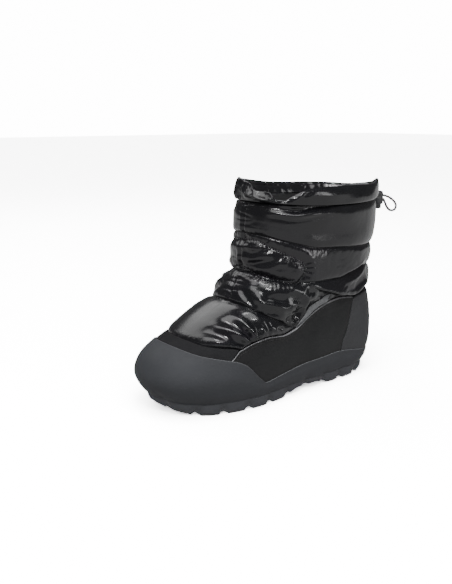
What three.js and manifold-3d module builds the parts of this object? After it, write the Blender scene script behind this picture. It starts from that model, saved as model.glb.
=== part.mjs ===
// An apres ski boot for the left foot: quilted upper, matte side panels and a rubber cup sole.
// Millimetres, +Z up, toe towards -Y, the outer side of the foot towards +X.
import * as THREE from "three";
import { mergeVertices } from "three/addons/utils/BufferGeometryUtils.js";
import Module from "manifold-3d";

const wasm = await Module();
wasm.setup();

// Driving dimensions.
const LENGTH = 296; // what places along the boot are shares of; the boot itself is 2% shorter
const HEIGHT = 212; // floor to the mean rim of the collar
const BALL_WIDTH = 112; // the widest place, across the ball

const OUTSOLE_THICKNESS = 12; // lugs and plate
const LUG_DEPTH = 6.5;
const LUG_PITCH = 27;
const LUG_GAP = 6;
const LUG_REACH = 13; // how far a side notch runs in under the foot
const GROOVE_DEPTH = 3;
const GROOVE_WIDTH = 4;
const TREAD_BEVEL = 3; // the tread's edge lies this far inside the sole's side
const TOE_SPRING = 11;
const ARCH_RISE = 5.5;
const HEEL_BEVEL = 2;
const FOOTBED_THICKNESS = 4.5; // the cup sole's floor
const RUBBER_WALL = 5; // the cup sole's side
const LIP_WALL = 1.7; // the rubber beside the upper edge of the cup sole
const TUCK = 7; // how far the panels run down inside the cup sole
const INSOLE_THICKNESS = 4;

const UPPER_WALL = 4; // quilted cloth and lining, at a seam
const PUFF = 7; // how far a full baffle stands out
const PANEL_THICKNESS = 2;
const STRIP_THICKNESS = 1.4;
const COUNTER_THICKNESS = 2.4;
const COUNTER_BULGE = 0.8;
const TAB_THICKNESS = 1.4;
const SEAM_DROP = 0.8; // the quilting starts this far above the edge of a panel
const TAPE_WIDTH = 9;
const TAPE_THICKNESS = 1.1;

const COLLAR_PROUD = 5.5; // the gathered cuff, outside the shaft's seam line
const COLLAR_INSIDE = 6;
const COLLAR_SKIRT = 1.8; // cloth that laps over the top of the upper
const GATHERS = 15;
const GATHER_DEPTH = 1.2;

const CORD_DIAMETER = 2.8;
const CORD_SPACING = 3.4; // between the two strands in the lock
const CORD_CLEARANCE = 0.4;
const LOCK_DIAMETER = 12;
const LOCK_LENGTH = 15;
const LOCK_EDGE = 2.2;
const LOCK_SIDES = 16;
const BUTTON_DIAMETER = 8.4;
const BUTTON_STANDS_OUT = 5;
const BUTTON_INSIDE = 9;
const BUTTON_TRAVEL = 3;

const CLEARANCE = 0.3; // between pieces that touch
const CURVED_CLEARANCE = 0.55; // between curved pieces that lie on each other

const COLUMNS = 60; // facets round the boot

const HALF_BALL = BALL_WIDTH / 2;

// The last's profile, a row for each level from the floor up: where the level starts at the toe
// and ends at the heel, as shares of LENGTH, and how high it lies there, as shares of HEIGHT.
const profileRows = [
  { name: "tread", front: -0.37, back: 0.414, frontUp: 0.019, backUp: 0.019 },
  { name: "welt", front: -0.42, back: 0.428, frontUp: 0.057, backUp: 0.057 },
  { name: "sidewall", front: -0.463, back: 0.447, frontUp: 0.113, backUp: 0.113 },
  { name: "toe", front: -0.483, back: 0.461, frontUp: 0.179, backUp: 0.179 },
  { name: "bumper", front: -0.468, back: 0.462, frontUp: 0.236, backUp: 0.264 },
  { name: "bumper top", front: -0.436, back: 0.457, frontUp: 0.283, backUp: 0.349 },
  { name: "toe cap", front: -0.392, back: 0.45, frontUp: 0.316, backUp: 0.415 },
  { name: "vamp", front: -0.331, back: 0.442, frontUp: 0.349, backUp: 0.462 },
  { name: "vamp middle", front: -0.277, back: 0.438, frontUp: 0.387, backUp: 0.5 },
  { name: "vamp top", front: -0.226, back: 0.436, frontUp: 0.4245, backUp: 0.538 },
  { name: "throat", front: -0.182, back: 0.437, frontUp: 0.462, backUp: 0.571 },
  { name: "instep", front: -0.14, back: 0.441, frontUp: 0.519, backUp: 0.613 },
  { name: "ankle", front: -0.11, back: 0.445, frontUp: 0.585, backUp: 0.66 },
  { name: "shaft", front: -0.1, back: 0.455, frontUp: 0.66, backUp: 0.717 },
  { name: "calf", front: -0.096, back: 0.46, frontUp: 0.755, backUp: 0.792 },
  { name: "below cuff", front: -0.086, back: 0.463, frontUp: 0.849, backUp: 0.868 },
  { name: "cuff", front: -0.078, back: 0.466, frontUp: 0.925, backUp: 0.934 },
  { name: "rim", front: -0.068, back: 0.469, frontUp: 1.04, backUp: 1.04 },
];
// The same levels from above: half widths at three stations as shares of half the BALL_WIDTH, and
// the share that the inner side draws in under the arch.
const widthRows = [
  { name: "tread", ball: 0.75, waist: 0.62, heel: 0.56, arch: 0.08 },
  { name: "welt", ball: 0.83, waist: 0.69, heel: 0.62, arch: 0.08 },
  { name: "sidewall", ball: 0.905, waist: 0.775, heel: 0.7, arch: 0.07 },
  { name: "toe", ball: 0.93, waist: 0.83, heel: 0.73, arch: 0.06 },
  { name: "bumper", ball: 0.905, waist: 0.83, heel: 0.74, arch: 0.05 },
  { name: "bumper top", ball: 0.86, waist: 0.8, heel: 0.73, arch: 0.04 },
  { name: "toe cap", ball: 0.825, waist: 0.785, heel: 0.715, arch: 0.03 },
  { name: "vamp", ball: 0.8, waist: 0.785, heel: 0.715, arch: 0.02 },
  { name: "vamp middle", ball: 0.8, waist: 0.785, heel: 0.72, arch: 0.01 },
  { name: "vamp top", ball: 0.81, waist: 0.8, heel: 0.74, arch: 0 },
  { name: "throat", ball: 0.83, waist: 0.82, heel: 0.77, arch: 0 },
  { name: "instep", ball: 0.86, waist: 0.86, heel: 0.81, arch: 0 },
  { name: "ankle", ball: 0.865, waist: 0.865, heel: 0.83, arch: 0 },
  { name: "shaft", ball: 0.875, waist: 0.875, heel: 0.86, arch: 0 },
  { name: "calf", ball: 0.88, waist: 0.88, heel: 0.87, arch: 0 },
  { name: "below cuff", ball: 0.88, waist: 0.88, heel: 0.87, arch: 0 },
  { name: "cuff", ball: 0.875, waist: 0.875, heel: 0.87, arch: 0 },
  { name: "rim", ball: 0.865, waist: 0.865, heel: 0.86, arch: 0 },
];
// How much of each level's length its round ends take, and how far the toe leans to the inner
// side, as a share of half the BALL_WIDTH.
const endRows = [
  { name: "tread", toeRound: 0.36, heelRound: 0.2, curve: 0.07 },
  { name: "welt", toeRound: 0.35, heelRound: 0.2, curve: 0.07 },
  { name: "sidewall", toeRound: 0.32, heelRound: 0.2, curve: 0.07 },
  { name: "toe", toeRound: 0.3, heelRound: 0.2, curve: 0.07 },
  { name: "bumper", toeRound: 0.3, heelRound: 0.21, curve: 0.07 },
  { name: "bumper top", toeRound: 0.31, heelRound: 0.22, curve: 0.06 },
  { name: "toe cap", toeRound: 0.33, heelRound: 0.24, curve: 0.05 },
  { name: "vamp", toeRound: 0.35, heelRound: 0.27, curve: 0.04 },
  { name: "vamp middle", toeRound: 0.38, heelRound: 0.3, curve: 0.03 },
  { name: "vamp top", toeRound: 0.41, heelRound: 0.34, curve: 0.02 },
  { name: "throat", toeRound: 0.44, heelRound: 0.38, curve: 0.01 },
  { name: "instep", toeRound: 0.47, heelRound: 0.42, curve: 0 },
  { name: "ankle", toeRound: 0.5, heelRound: 0.46, curve: 0 },
  { name: "shaft", toeRound: 0.52, heelRound: 0.5, curve: 0 },
  { name: "calf", toeRound: 0.52, heelRound: 0.5, curve: 0 },
  { name: "below cuff", toeRound: 0.52, heelRound: 0.5, curve: 0 },
  { name: "cuff", toeRound: 0.52, heelRound: 0.5, curve: 0 },
  { name: "rim", toeRound: 0.52, heelRound: 0.5, curve: 0 },
];
const levels = profileRows.map((row, level) => ({
  ...row,
  ...widthRows[level],
  ...endRows[level],
  level,
}));
const TOP_LEVEL = levels.length - 1;
const SIDE_LEVEL = 3;
const END_ROUNDNESS = 2.35; // 2 is an ellipse, more is blunter
const STATIONS = { ball: 0.28, waist: 0.6, heel: 0.85 }; // along a level, as shares of its length
const CURVE_REACH = 0.45; // the toe's lean ends here, as a share of a level's length
const ARCH_REACH = 0.22;
const LEVEL_WALLS = { from: 1.5, to: 4 }; // below these levels a wall's thickness is measured level

// Lines seen from the side: along as shares of LENGTH, up as shares of HEIGHT.
const coverRows = [
  { along: -0.42, up: 0.348 },
  { along: -0.378, up: 0.311 },
  { along: -0.321, up: 0.281 },
  { along: -0.27, up: 0.259 },
  { along: -0.23, up: 0.231 },
  { along: -0.196, up: 0.193 },
  { along: -0.169, up: 0.156 },
  { along: -0.139, up: 0.127 },
  { along: -0.088, up: 0.137 },
  { along: -0.024, up: 0.151 },
  { along: 0.049, up: 0.164 },
  { along: 0.108, up: 0.168 },
  { along: 0.203, up: 0.173 },
  { along: 0.27, up: 0.164 },
  { along: 0.338, up: 0.146 },
  { along: 0.432, up: 0.12 },
];
const panelTopRows = [
  { along: -0.297, up: 0.236 },
  { along: -0.267, up: 0.264 },
  { along: -0.23, up: 0.3 },
  { along: -0.172, up: 0.323 },
  { along: -0.118, up: 0.332 },
  { along: -0.054, up: 0.327 },
  { along: 0, up: 0.341 },
  { along: 0.064, up: 0.387 },
  { along: 0.118, up: 0.423 },
  { along: 0.176, up: 0.445 },
  { along: 0.218, up: 0.45 },
  { along: 0.274, up: 0.441 },
  { along: 0.294, up: 0.436 },
];
const stripTopRows = [
  { along: -0.38, up: 0.359 },
  { along: -0.341, up: 0.354 },
  { along: -0.321, up: 0.344 },
  { along: -0.287, up: 0.33 },
  { along: -0.253, up: 0.314 },
  { along: -0.23, up: 0.3 },
];
const counterTopRows = [
  { along: 0.223, up: 0.1 },
  { along: 0.23, up: 0.156 },
  { along: 0.236, up: 0.203 },
  { along: 0.257, up: 0.264 },
  { along: 0.28, up: 0.354 },
  { along: 0.297, up: 0.428 },
  { along: 0.338, up: 0.436 },
  { along: 0.47, up: 0.443 },
];
const tabTopRows = [
  { along: 0.294, up: 0.436 },
  { along: 0.338, up: 0.458 },
  { along: 0.389, up: 0.476 },
  { along: 0.47, up: 0.495 },
];
const throatRows = [
  { along: -0.21, up: 0.505 },
  { along: -0.169, up: 0.472 },
  { along: -0.1, up: 0.415 },
  { along: 0, up: 0.345 },
];
const ankleRows = [
  { along: -0.17, up: 0.63 },
  { along: -0.09, up: 0.6 },
  { along: 0, up: 0.558 },
  { along: 0.2, up: 0.555 },
  { along: 0.318, up: 0.58 },
  { along: 0.47, up: 0.592 },
];
const calfRows = [
  { along: -0.12, up: 0.8 },
  { along: 0.02, up: 0.74 },
  { along: 0.088, up: 0.717 },
  { along: 0.182, up: 0.708 },
  { along: 0.328, up: 0.694 },
  { along: 0.47, up: 0.69 },
];
const cuffRows = [
  { along: -0.1, up: 0.935 },
  { along: 0.07, up: 0.915 },
  { along: 0.27, up: 0.91 },
  { along: 0.49, up: 0.925 },
];

// The collar's upper edge, by the share of a full turn from the toe over the outer side.
const rimRows = [
  { turn: 0, up: 1.015 },
  { turn: 0.03, up: 0.985 },
  { turn: 0.07, up: 0.985 },
  { turn: 0.092, up: 0.96 },
  { turn: 0.12, up: 0.995 },
  { turn: 0.17, up: 1.01 },
  { turn: 0.27, up: 1.01 },
  { turn: 0.4, up: 1.02 },
  { turn: 0.5, up: 1.015 },
  { turn: 0.62, up: 0.99 },
  { turn: 0.75, up: 0.985 },
  { turn: 0.86, up: 1.01 },
  { turn: 0.95, up: 1.035 },
  { turn: 1, up: 1.015 },
];

// A curve through a table's rows that doesn't overshoot between two of them.
function through(rows, key, value, at) {
  const last = rows.length - 1;
  const rise = (i) => (rows[i + 1][value] - rows[i][value]) / (rows[i + 1][key] - rows[i][key]);
  if (at <= rows[0][key]) return rows[0][value] + rise(0) * (at - rows[0][key]);
  if (at >= rows[last][key]) return rows[last][value] + rise(last - 1) * (at - rows[last][key]);
  let i = 0;
  while (rows[i + 1][key] < at) i += 1;
  const slopeAt = (k) => {
    if (k === 0) return rise(0);
    if (k === last) return rise(last - 1);
    const before = rise(k - 1);
    const after = rise(k);
    return before * after > 0 ? (2 * before * after) / (before + after) : 0;
  };
  const step = rows[i + 1][key] - rows[i][key];
  const s = (at - rows[i][key]) / step;
  const ease = s * s * (3 - 2 * s);
  const leave = s * (1 - s) * (1 - s) * step;
  const arrive = s * s * (1 - s) * step;
  return (
    rows[i][value] * (1 - ease) +
    rows[i + 1][value] * ease +
    slopeAt(i) * leave -
    slopeAt(i + 1) * arrive
  );
}

const smoothStep = (from, to, at) => THREE.MathUtils.smoothstep(at, from, to);

const shapes = new Map();
function levelShape(level) {
  if (!shapes.has(level)) {
    const shape = {};
    for (const key of Object.keys(levels[0])) {
      if (typeof levels[0][key] === "number") shape[key] = through(levels, "level", key, level);
    }
    shapes.set(level, shape);
  }
  return shapes.get(level);
}

function roundEnd(share) {
  const rest = 1 - Math.min(Math.max(share, 0), 1);
  return Math.pow(1 - Math.pow(rest, END_ROUNDNESS), 1 / END_ROUNDNESS);
}

// Half the girth of a level, from the ball over the waist to the heel.
function halfWidth(shape, along) {
  const toWaist = smoothStep(STATIONS.ball, STATIONS.waist, along);
  const toHeel = smoothStep(STATIONS.waist, STATIONS.heel, along);
  const girth = shape.ball + (shape.waist - shape.ball) * toWaist + (shape.heel - shape.waist) * toHeel;
  return girth * HALF_BALL;
}

// A point on the last: angle 0 is the toe, a quarter turn the outer side, a half turn the heel.
function lastPoint(level, angle) {
  const shape = levelShape(level);
  const along = (1 - Math.cos(angle)) / 2;
  const inner = Math.sin(angle) < 0;
  const round = roundEnd(along / shape.toeRound) * roundEnd((1 - along) / shape.heelRound);
  const archShare = inner ? shape.arch * Math.exp(-(((along - STATIONS.waist) / ARCH_REACH) ** 2)) : 0;
  const lean = shape.curve * HALF_BALL * Math.max(0, 1 - along / CURVE_REACH) ** 2;
  return new THREE.Vector3(
    (inner ? -1 : 1) * halfWidth(shape, along) * round * (1 - archShare) - lean,
    (shape.front + (shape.back - shape.front) * along) * LENGTH,
    (shape.frontUp + (shape.backUp - shape.frontUp) * along) * HEIGHT,
  );
}

// The way out of the last. Beside the sole it is level, so that walls keep their thickness.
function outwards(level, angle) {
  const step = 0.02;
  const down = Math.max(level - step, 0);
  const up = Math.min(level + step, TOP_LEVEL);
  const round = lastPoint(level, angle + step).sub(lastPoint(level, angle - step));
  const rise = lastPoint(up, angle).sub(lastPoint(down, angle));
  const normal = round.cross(rise).normalize();
  normal.z *= smoothStep(LEVEL_WALLS.from, LEVEL_WALLS.to, level);
  return normal.normalize();
}

const skinPoint = (level, angle, offset) =>
  lastPoint(level, angle).addScaledVector(outwards(level, angle), offset);

// The level at which a column of the last crosses a height that depends on the place along.
function levelAt(height, angle) {
  let low = 0;
  let high = TOP_LEVEL;
  for (let i = 0; i < 26; i += 1) {
    const middle = (low + high) / 2;
    const point = lastPoint(middle, angle);
    if (point.z < height(point.y, angle)) low = middle;
    else high = middle;
  }
  return (low + high) / 2;
}

function stop(height) {
  const known = new Map();
  return (angle) => {
    if (!known.has(angle)) known.set(angle, levelAt(height, angle));
    return known.get(angle);
  };
}

const sideLine = (rows) => (y) => through(rows, "along", "up", y / LENGTH) * HEIGHT;

// The sole's ground line: flat under ball and heel, raised at the toe, the arch and the heel's end.
const GROUND = {
  toe: -0.324,
  toeTip: -0.463,
  archFront: -0.05,
  archBack: 0.225,
  heel: 0.425,
  heelEnd: 0.46,
};
const ARCH_FULLNESS = 1.4; // over 1 the arch is level in its middle
const PLATE_SPRING = 0.75; // the plate over the lugs turns up less than their ground line
const towards = (from, to, y) => Math.max(0, (y / LENGTH - from) / (to - from));
function groundLine(y) {
  const toe = TOE_SPRING * towards(GROUND.toe, GROUND.toeTip, y) ** 2;
  const heel = HEEL_BEVEL * towards(GROUND.heel, GROUND.heelEnd, y) ** 2;
  const arch = Math.min(towards(GROUND.archFront, GROUND.archBack, y), 1);
  return toe + heel + ARCH_RISE * Math.min(1, ARCH_FULLNESS * Math.sin(Math.PI * arch) ** 2);
}
const plateTop = (y) =>
  OUTSOLE_THICKNESS + PLATE_SPRING * TOE_SPRING * towards(GROUND.toe, GROUND.toeTip, y) ** 2;
const cupBottom = (y) => plateTop(y) + CLEARANCE;
const footbed = (y) => cupBottom(y) + FOOTBED_THICKNESS;
const coverLine = sideLine(coverRows);
const LEAST_BAND = 1.2; // the least height of a band of cloth, where two seams run together
const insoleTop = (y) => footbed(y) + CLEARANCE + INSOLE_THICKNESS;
const tuckLine = (y) => Math.max(coverLine(y) - TUCK, insoleTop(y) + LEAST_BAND);
const counterTop = sideLine(counterTopRows);

const PANEL_FRONT = panelTopRows[0].along * LENGTH;
const PANEL_TIP = stripTopRows[stripTopRows.length - 1].along * LENGTH;
const PANEL_BACK = tabTopRows[0].along * LENGTH;
// The line where the quilting starts: strip, panel and heel tab in turn.
function quiltLine(y) {
  if (y < PANEL_TIP) return sideLine(stripTopRows)(y);
  return y < PANEL_BACK ? sideLine(panelTopRows)(y) : sideLine(tabTopRows)(y);
}
// A line at a distance above another one, measured square to it.
const SLOPE_STEP = 0.5;
function above(line, distance) {
  return (y) => {
    const slope = (line(y + SLOPE_STEP) - line(y - SLOPE_STEP)) / (2 * SLOPE_STEP);
    return line(y) + distance * Math.hypot(1, slope);
  };
}
const notBelow = (line, floor, distance) => (y) => Math.max(line(y), floor(y) + distance);
const throatLine = notBelow(sideLine(throatRows), quiltLine, LEAST_BAND);
const ankleLine = sideLine(ankleRows);
const calfLine = sideLine(calfRows);
const cuffLine = sideLine(cuffRows);
const upperTop = above(cuffLine, COLLAR_SKIRT * 2);

// Angles that divide a level's outline evenly, the same on both sides.
function evenAngles(count, level) {
  const samples = 720;
  const lengths = [0];
  for (let i = 1; i <= samples; i += 1) {
    const here = lastPoint(level, (i * Math.PI) / samples);
    const before = lastPoint(level, ((i - 1) * Math.PI) / samples);
    lengths.push(lengths[i - 1] + here.distanceTo(before));
  }
  const half = count / 2;
  const angles = [];
  let i = 0;
  for (let k = 0; k <= half; k += 1) {
    const want = (lengths[samples] * k) / half;
    while (i < samples - 1 && lengths[i + 1] < want) i += 1;
    const share = (want - lengths[i]) / (lengths[i + 1] - lengths[i]);
    angles.push(((i + share) * Math.PI) / samples);
  }
  const mirrored = angles.slice(1, half).reverse().map((angle) => 2 * Math.PI - angle);
  return [...angles, ...mirrored];
}
const roundAngles = evenAngles(COLUMNS, SIDE_LEVEL);

// A closed mesh from rings of equal length. The rings join up again, or each end ring is closed
// by strips that join its two sides, which start at its first point or at its first edge.
function skin(rings, ends) {
  const count = rings[0].length;
  const triangles = [];
  const points = rings.flat();
  const triangle = (a, b, c) => {
    if (a !== b && b !== c && a !== c) triangles.push(a, b, c);
  };
  // A twisted quad is split along its shorter diagonal, so that skins that lie on each other agree.
  const quad = (a, b, c, d) => {
    const straight = points[a].distanceTo(points[c]) <= points[b].distanceTo(points[d]);
    triangle(a, b, straight ? c : d);
    triangle(straight ? a : b, c, d);
  };
  const lastRing = ends === "joined" ? rings.length : rings.length - 1;
  for (let i = 0; i < lastRing; i += 1) {
    const here = i * count;
    const next = ((i + 1) % rings.length) * count;
    for (let j = 0; j < count; j += 1) {
      const k = (j + 1) % count;
      quad(here + j, here + k, next + k, next + j);
    }
  }
  if (ends !== "joined") {
    const partner = (j) => (ends === "from a point" ? (count - j) % count : count - 1 - j);
    const top = (rings.length - 1) * count;
    for (let j = 0; 2 * j < count; j += 1) {
      const k = j + 1;
      if (k > partner(k) && partner(k) !== k) break;
      quad(partner(j), partner(k), k, j);
      quad(top + j, top + k, top + partner(k), top + partner(j));
      if (partner(k) <= k) break;
    }
  }
  const corner = (i) => points[triangles[i]];
  let volume = 0;
  for (let i = 0; i < triangles.length; i += 3) {
    volume += corner(i).dot(corner(i + 1).clone().cross(corner(i + 2)));
  }
  if (volume < 0) triangles.reverse();
  const geometry = new THREE.BufferGeometry().setFromPoints(points);
  geometry.setIndex(triangles);
  return geometry;
}

// A closed geometry as a solid that can be cut and joined, and back again.
function toSolid(geometry) {
  const bare = geometry.clone();
  bare.deleteAttribute("normal");
  bare.deleteAttribute("uv");
  const merged = mergeVertices(bare, 1e-4);
  return new wasm.Manifold(
    new wasm.Mesh({
      numProp: 3,
      vertProperties: new Float32Array(merged.attributes.position.array),
      triVerts: new Uint32Array(merged.index.array),
    }),
  );
}

function fromSolid(solid) {
  const mesh = solid.getMesh();
  const geometry = new THREE.BufferGeometry();
  geometry.setAttribute("position", new THREE.BufferAttribute(mesh.vertProperties, 3));
  geometry.setIndex(new THREE.BufferAttribute(mesh.triVerts, 1));
  return geometry;
}

const finishes = {
  rubber: new THREE.MeshStandardMaterial({ color: 0x2b2c2f, roughness: 0.55, metalness: 0 }),
  tread: new THREE.MeshStandardMaterial({ color: 0x232426, roughness: 0.7, metalness: 0 }),
  nylon: new THREE.MeshStandardMaterial({ color: 0x0d0d10, roughness: 0.22, metalness: 0 }),
  nubuck: new THREE.MeshStandardMaterial({ color: 0x17171a, roughness: 0.9, metalness: 0 }),
  counter: new THREE.MeshStandardMaterial({ color: 0x1f2023, roughness: 0.7, metalness: 0 }),
  softshell: new THREE.MeshStandardMaterial({ color: 0x18191b, roughness: 0.8, metalness: 0 }),
  webbing: new THREE.MeshStandardMaterial({ color: 0x55575a, roughness: 0.75, metalness: 0 }),
  foam: new THREE.MeshStandardMaterial({ color: 0x202124, roughness: 0.95, metalness: 0 }),
  cord: new THREE.MeshStandardMaterial({ color: 0x1a1b1c, roughness: 0.8, metalness: 0 }),
  plastic: new THREE.MeshStandardMaterial({ color: 0x1d1e1f, roughness: 0.5, metalness: 0 }),
};

const boot = new THREE.Group();
boot.name = "apres_ski_boot";

function addPiece(name, geometry, finish) {
  const mesh = new THREE.Mesh(geometry, finish);
  mesh.name = name;
  boot.add(mesh);
}

// Stops, from the floor up: the level at which a column meets each line.
const stops = {
  sole: stop(cupBottom),
  footbed: stop(footbed),
  upperFoot: stop(above(footbed, CLEARANCE)),
  insoleTop: stop(insoleTop),
  tuck: stop(tuckLine),
  cupStep: stop(above(tuckLine, -CLEARANCE)),
  cover: stop(coverLine),
  quilt: stop(quiltLine),
  throat: stop(throatLine),
  ankle: stop(ankleLine),
  calf: stop(calfLine),
  cuff: stop(cuffLine),
  upperTop: stop(upperTop),
};
const ringOf = (angles, levelOf, offsetOf) =>
  angles.map((angle) => skinPoint(levelOf(angle), angle, offsetOf(angle)));
const between = (a, b, share) => (angle) => a(angle) + (b(angle) - a(angle)) * share;

const HIDDEN_SHARES = [0, 0.3, 0.65]; // inside the cup sole
const FULL_BAND = 3.2 * PUFF; // a baffle at least this high puffs out in full
const PUFF_ROUNDNESS = 2.4;
// The upper's baffles, from the floor up, and how full each one is.
const baffles = [
  { from: "upperFoot", to: "tuck", shares: HIDDEN_SHARES, puff: 0 },
  { from: "tuck", to: "quilt", shares: [0, 0.25, 0.5, 0.75], puff: 0 },
  { from: "quilt", to: "throat", shares: [0, 0.08, 0.3, 0.6, 0.92], puff: 1 },
  { from: "throat", to: "ankle", shares: [0, 0.07, 0.28, 0.6, 0.92], puff: 0.95 },
  { from: "ankle", to: "calf", shares: [0, 0.07, 0.28, 0.6, 0.92], puff: 0.65 },
  { from: "calf", to: "cuff", shares: [0, 0.06, 0.25, 0.6, 0.93], puff: 0.65 },
  { from: "cuff", to: "upperTop", shares: [0, 1], puff: 0 },
];

// A baffle's section: steep beside its seams, flat in the middle, thin where the seams run together.
function puffAt(baffle, share, angle) {
  const low = lastPoint(stops[baffle.from](angle), angle);
  const high = lastPoint(stops[baffle.to](angle), angle);
  const full = smoothStep(0, FULL_BAND, low.distanceTo(high));
  return PUFF * baffle.puff * full * Math.sqrt(1 - Math.abs(2 * share - 1) ** PUFF_ROUNDNESS);
}

function makeUpper() {
  const outside = baffles.flatMap((baffle) =>
    baffle.shares.map((share) =>
      ringOf(roundAngles, between(stops[baffle.from], stops[baffle.to], share), (angle) =>
        puffAt(baffle, share, angle),
      ),
    ),
  );
  const insideStops = [
    { from: "upperTop", to: "calf", shares: [0, 0.5] },
    { from: "calf", to: "ankle", shares: [0, 0.5] },
    { from: "ankle", to: "quilt", shares: [0, 0.33, 0.67] },
    { from: "quilt", to: "tuck", shares: [0, 0.5] },
    { from: "tuck", to: "insoleTop", shares: [0, 0.5] },
    { from: "insoleTop", to: "upperFoot", shares: [0, 1] },
  ];
  const inside = insideStops.flatMap(({ from, to, shares }) =>
    shares.map((share) => ringOf(roundAngles, between(stops[from], stops[to], share), () => -UPPER_WALL)),
  );
  addPiece("upper", skin([...outside, ...inside], "joined"), finishes.nylon);
}

// The cup sole: floor, side and toe bumper are moulded in one.
const PANEL_STACK = 2 * CURVED_CLEARANCE + Math.max(PANEL_THICKNESS, COUNTER_THICKNESS);
const LIP = PANEL_STACK + LIP_WALL;
const SOLE_EDGE = RUBBER_WALL * 0.8;
const soleSeat = () => ringOf(roundAngles, stops.sole, () => SOLE_EDGE);
function makeCupSole() {
  const side = [
    { share: 0.25, wall: 1 },
    { share: 0.5, wall: 1.04 },
    { share: 0.75, wall: 1 },
  ];
  const outside = side.map(({ share, wall }) =>
    ringOf(roundAngles, between(stops.sole, stops.cover, share), () => RUBBER_WALL * wall),
  );
  outside.unshift(soleSeat());
  outside.push(ringOf(roundAngles, between(stops.sole, stops.cover, 0.94), () => LIP));
  outside.push(ringOf(roundAngles, stops.cover, () => LIP - LIP_WALL / 3));
  const inside = [
    ringOf(roundAngles, stops.cover, () => PANEL_STACK),
    ringOf(roundAngles, between(stops.cover, stops.cupStep, 0.5), () => PANEL_STACK),
    ringOf(roundAngles, stops.cupStep, () => PANEL_STACK),
    ringOf(roundAngles, stops.cupStep, () => CURVED_CLEARANCE),
    ...[...HIDDEN_SHARES]
      .reverse()
      .map((share) => between(stops.footbed, stops.cupStep, share))
      .map((level) => ringOf(roundAngles, level, () => CURVED_CLEARANCE)),
  ];
  addPiece("cup_sole", skin([...outside, ...inside], "from a point"), finishes.rubber);
}

// The tread: a plate with lugs all round, parted by side notches and cross grooves.
function makeOutsole() {
  const sunk = (height, inset) =>
    ringOf(roundAngles, stops.sole, () => SOLE_EDGE - inset).map((point) =>
      point.setZ(height(point.y)),
    );
  const top = soleSeat().map((point) => point.setZ(point.z - CLEARANCE));
  const middle = sunk((y) => (groundLine(y) + plateTop(y)) / 2, TREAD_BEVEL / 4);
  const ground = sunk(groundLine, TREAD_BEVEL);
  let tread = toSolid(skin([ground, middle, top], "from a point"));

  const outline = [...ground, ground[0]];
  let walked = LUG_PITCH / 2;
  for (let i = 0; i + 1 < outline.length; i += 1) {
    const edge = outline[i + 1].clone().sub(outline[i]).setZ(0);
    const length = edge.length();
    while (walked < length) {
      const place = outline[i].clone().lerp(outline[i + 1], walked / length);
      const room = (plateTop(place.y) - groundLine(place.y)) / OUTSOLE_THICKNESS;
      const notch = new THREE.CylinderGeometry(LUG_GAP / 2, LUG_GAP / 2, 2 * LUG_REACH, 8);
      notch.scale(1, 1, (2 * LUG_DEPTH * room) / LUG_GAP);
      notch.rotateZ(Math.atan2(edge.y, edge.x));
      notch.translate(place.x, place.y, groundLine(place.y));
      tread = tread.subtract(toSolid(notch));
      walked += LUG_PITCH;
    }
    walked -= length;
  }
  const first = GROUND.toe * LENGTH + LUG_PITCH / 2;
  for (let y = first; y < GROUND.heel * LENGTH; y += LUG_PITCH) {
    const groove = new THREE.BoxGeometry(BALL_WIDTH, GROOVE_WIDTH, 2 * GROOVE_DEPTH);
    groove.translate(0, y, 0);
    tread = tread.subtract(toSolid(groove));
  }
  addPiece("outsole", fromSolid(tread), finishes.tread);
}

function makeInsole() {
  const inset = () => -UPPER_WALL - CURVED_CLEARANCE;
  const bottom = ringOf(roundAngles, stops.upperFoot, inset);
  const top = ringOf(roundAngles, stops.insoleTop, inset);
  addPiece("insole", skin([bottom, top], "from a point"), finishes.foam);
}

const LEAST_TURN = 0.01; // between an overlay's end and its next column
// An overlay: a patch of the last's own surface between two stops and two angles.
function overlay({ low, high, from, to, rows, inner, thickness }) {
  const detail = [...roundAngles, ...EDGE_ANGLES].sort((a, b) => a - b);
  const turned = (angle) => (angle < 0 ? angle + 2 * Math.PI : angle);
  const inside = [...detail.map((angle) => angle - 2 * Math.PI), ...detail].filter(
    (angle) => angle > from + LEAST_TURN && angle < to - LEAST_TURN,
  );
  const shares = Array.from({ length: rows + 1 }, (_, i) => i / rows);
  const rings = [from, ...inside, to].map((raw) => {
    const angle = turned(raw);
    const at = (share, offset) => {
      const level = between(low, high, share)(angle);
      return skinPoint(level, angle, offset(angle, share, level));
    };
    const outside = shares.map((share) => at(share, (a, s, l) => inner(a, s, l) + thickness(a, s)));
    const back = shares.map((share) => at(share, inner)).reverse();
    return [...outside, ...back];
  });
  return skin(rings, "from an edge");
}

// The angle between two others at which a band narrows to its least width.
function bandEnd(low, high, wide, narrow) {
  let inside = wide;
  let outside = narrow;
  const width = (raw) => {
    const angle = raw < 0 ? raw + 2 * Math.PI : raw;
    return lastPoint(high(angle), angle).z - lastPoint(low(angle), angle).z;
  };
  for (let i = 0; i < 26; i += 1) {
    const middle = (inside + outside) / 2;
    if (width(middle) > LEAST_BAND) inside = middle;
    else outside = middle;
  }
  return inside;
}

const angleAt = (share) => Math.acos(1 - 2 * share); // of a place along a level
const mirror = (angle) => 2 * Math.PI - angle;
// More columns where the counter's front edge climbs steeply.
const EDGE_SHARES = [0.733, 0.741, 0.749, 0.757, 0.766, 0.776, 0.79, 0.81, 0.83];
const EDGE_ANGLES = EDGE_SHARES.flatMap((share) => [angleAt(share), mirror(angleAt(share))]);
const SIDE_ANGLE = angleAt(0.5);
const onLast = () => CURVED_CLEARANCE;

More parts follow.
